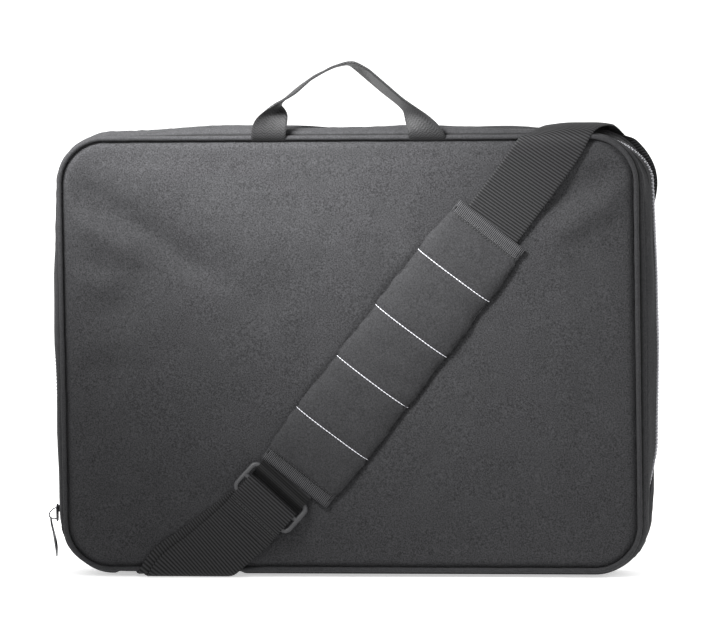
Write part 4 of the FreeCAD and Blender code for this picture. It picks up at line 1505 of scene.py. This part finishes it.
def slider_plate(near, far, grow):
    """One plate of the slider, with softened rims."""
    ring = [(z, w * grow) for z, w in SLIDER_OUTLINE]
    ring += [(z, -w) for z, w in ring[::-1]]
    rings = []
    for depth, share in ((near, 0.86), (near + 0.3, 1.0), (far - 0.3, 1.0), (far, 0.86)):
        rings.append([(depth, w * share, SLIDER_MIDDLE + (z - SLIDER_MIDDLE) * share) for z, w in ring])
    return tube("plate", np.array(rings), SLIDER)


def slider_bridge(x):
    """The arch the pull hangs from, a flattened wire that reaches out to the pull's hinge."""
    turns = np.linspace(0, math.pi, 13)
    reach = [math.sin(turn) ** 0.8 for turn in turns]
    path = [(x - 6.9 * r, 0, 49.5 + 4.6 * math.cos(turn) - 1.9 * r) for turn, r in zip(turns, reach)]
    path = np.array(path)
    flat = np.array([0, 1.0, 0])
    rings = []
    for index, middle in enumerate(path):
        way = path[min(index + 1, 12)] - path[max(index - 1, 0)]
        out = np.cross(way / np.linalg.norm(way), flat)
        rings.append([middle + flat * 1.1 * math.cos(a) + out * 0.55 * math.sin(a) for a in around(10)])
    return tube("bridge", np.array(rings), SLIDER)


def make_slider():
    """Zip slider astride the teeth: two plates, a post between them and a bridge."""
    x = SLIDER_X
    parts = [
        slider_plate(x - 2.9, x - 1.6, 1.0),
        slider_plate(x + 1.7, x + 3.0, 0.92),
        rounded_block("post", (x - 2.0, -0.35, 50.5), (x + 2.2, 0.35, 56.0), SLIDER, 0.2),
        slider_bridge(x - 2.4),
    ]
    place(join("zip_slider_metal", parts), "zip_slider", "slider_metal", "slider_body")


# Right half of the pull and of its window: half width and height.
PULL_OUTLINE = (
    (1.6, 47.2), (2.6, 46.6), (3.2, 44.0), (3.3, 36.0), (3.0, 28.0),
    (2.9, 22.0), (3.3, 16.0), (2.8, 13.2), (1.4, 12.2),
)
PULL_WINDOW = ((1.7, 45.2), (1.9, 43.5), (1.9, 35.0), (1.2, 33.0))


def even_loop(half, count=36):
    """Even points round a closed outline from its right half."""
    loop = np.array([*half, *[(-w, z) for w, z in half[::-1]], half[0]], float)
    marks = lengths_along(loop)
    return read_at(np.linspace(0, marks[-1], count + 1)[:-1], marks, loop)


def make_pull():
    """Flat pull with a window and a rounded foot, leaning in from its hinge to the case."""
    rim, hole = even_loop(PULL_OUTLINE), even_loop(PULL_WINDOW)
    half_section = ((rim, 0.25, 0.95), (rim, 0.42, 0.86), (hole, 0.42, 1.12), (hole, 0.22, 1.0))
    section = [(loop, -depth, share) for loop, depth, share in half_section] + list(half_section[::-1])
    rings = []
    for loop, depth, share in section:
        middle = loop.mean(axis=0)
        w, z = ((loop - middle) * share + middle).T
        lean = (PULL_TOP_X - PULL_X) * smooth(20.0, 46.0, z)
        rings.append(np.stack([PULL_X + depth + lean, w, z], 1))
    piece = tube("zip_pull_metal", np.array(rings), SLIDER, closed=True)
    place(piece, "pull_tab", "slider_metal", "pull_tab")


# ---------------------------------------------------------------- camera, light, floor

FLOOR_HALF = 30000


def make_floor():
    """Pale floor."""
    n = Nodes("floor_white")
    n.paint(n.ramp(n.noise(3.0), [(0.3, 0.93), (0.7, 0.96)], tint=0.0))
    n.shader.inputs["Emission Color"].default_value = (1.0, 1.0, 1.0, 1.0)
    n.shader.inputs["Emission Strength"].default_value = 0.5
    corners = [(x * FLOOR_HALF, y * FLOOR_HALF, 0) for x, y in ((-1, -1), (1, -1), (1, 1), (-1, 1))]
    floor = add_mesh("floor", corners, [(0, 1, 2, 3)], n.finish(0.9))


def area(name, place_at, target, size, power, spread):
    """Soft light aimed at a point."""
    light = bpy.data.lights.new(name, "AREA")
    light.shape = "RECTANGLE"
    light.size, light.size_y = size
    light.energy = power
    light.spread = math.radians(spread)
    holder = show(name, light)
    holder.location = place_at
    holder.rotation_euler = (Vector(target) - Vector(place_at)).to_track_quat("-Z", "Y").to_euler()


def make_light():
    """White studio: bright surroundings and one soft key from above and the left."""
    world = bpy.data.worlds.new("studio")
    bpy.context.scene.world = world
    world.use_nodes = True
    world.node_tree.nodes["Background"].inputs["Color"].default_value = (1, 1, 1, 1)
    world.node_tree.nodes["Background"].inputs["Strength"].default_value = 1.0
    area("key", (-0.42, -0.38, 0.74), (-0.21, -0.026, 0.44), size=(0.62, 0.12), power=3.4, spread=43)
    bpy.context.scene.view_settings.view_transform = "Standard"


def make_camera():
    """Long lens, slightly from the right and above."""
    azimuth, elevation, roll, distance = math.radians(8.0), math.radians(6.0), math.radians(-0.9), 6.0
    target = Vector((0.0085, 0.0, 0.2084))
    flat = math.cos(elevation)
    way = Vector((math.sin(azimuth) * flat, -math.cos(azimuth) * flat, math.sin(elevation)))
    data = bpy.data.cameras.new("camera")
    data.lens = 363.0
    data.sensor_width = 36.0
    data.clip_end = 100.0
    camera = show("camera", data)
    camera.location = target + way * distance
    camera.rotation_euler = ((-way).to_track_quat("-Z", "Y") @ Quaternion((0, 0, 1), roll)).to_euler()
    bpy.context.scene.camera = camera


SIDES = (("front", 1), ("back", -1))

make_gussets()
for side, sign in SIDES:
    make_piping(side, sign)


make_panel("front", 1, front_height)
make_panel("back", -1, back_height, "back_board")
make_lining("front", 1, seed=71)
make_lining("back", -1, seed=73)
for side, sign in SIDES:
    make_binding(side, sign)


for side, sign in SIDES:
    make_zip(side, sign)


make_strap()
make_handle()
make_pad()
make_seams()
make_end_tabs()
make_slider()
make_pull()
wear_cad()
make_floor()
make_light()
make_camera()

bpy.context.view_layer.update()
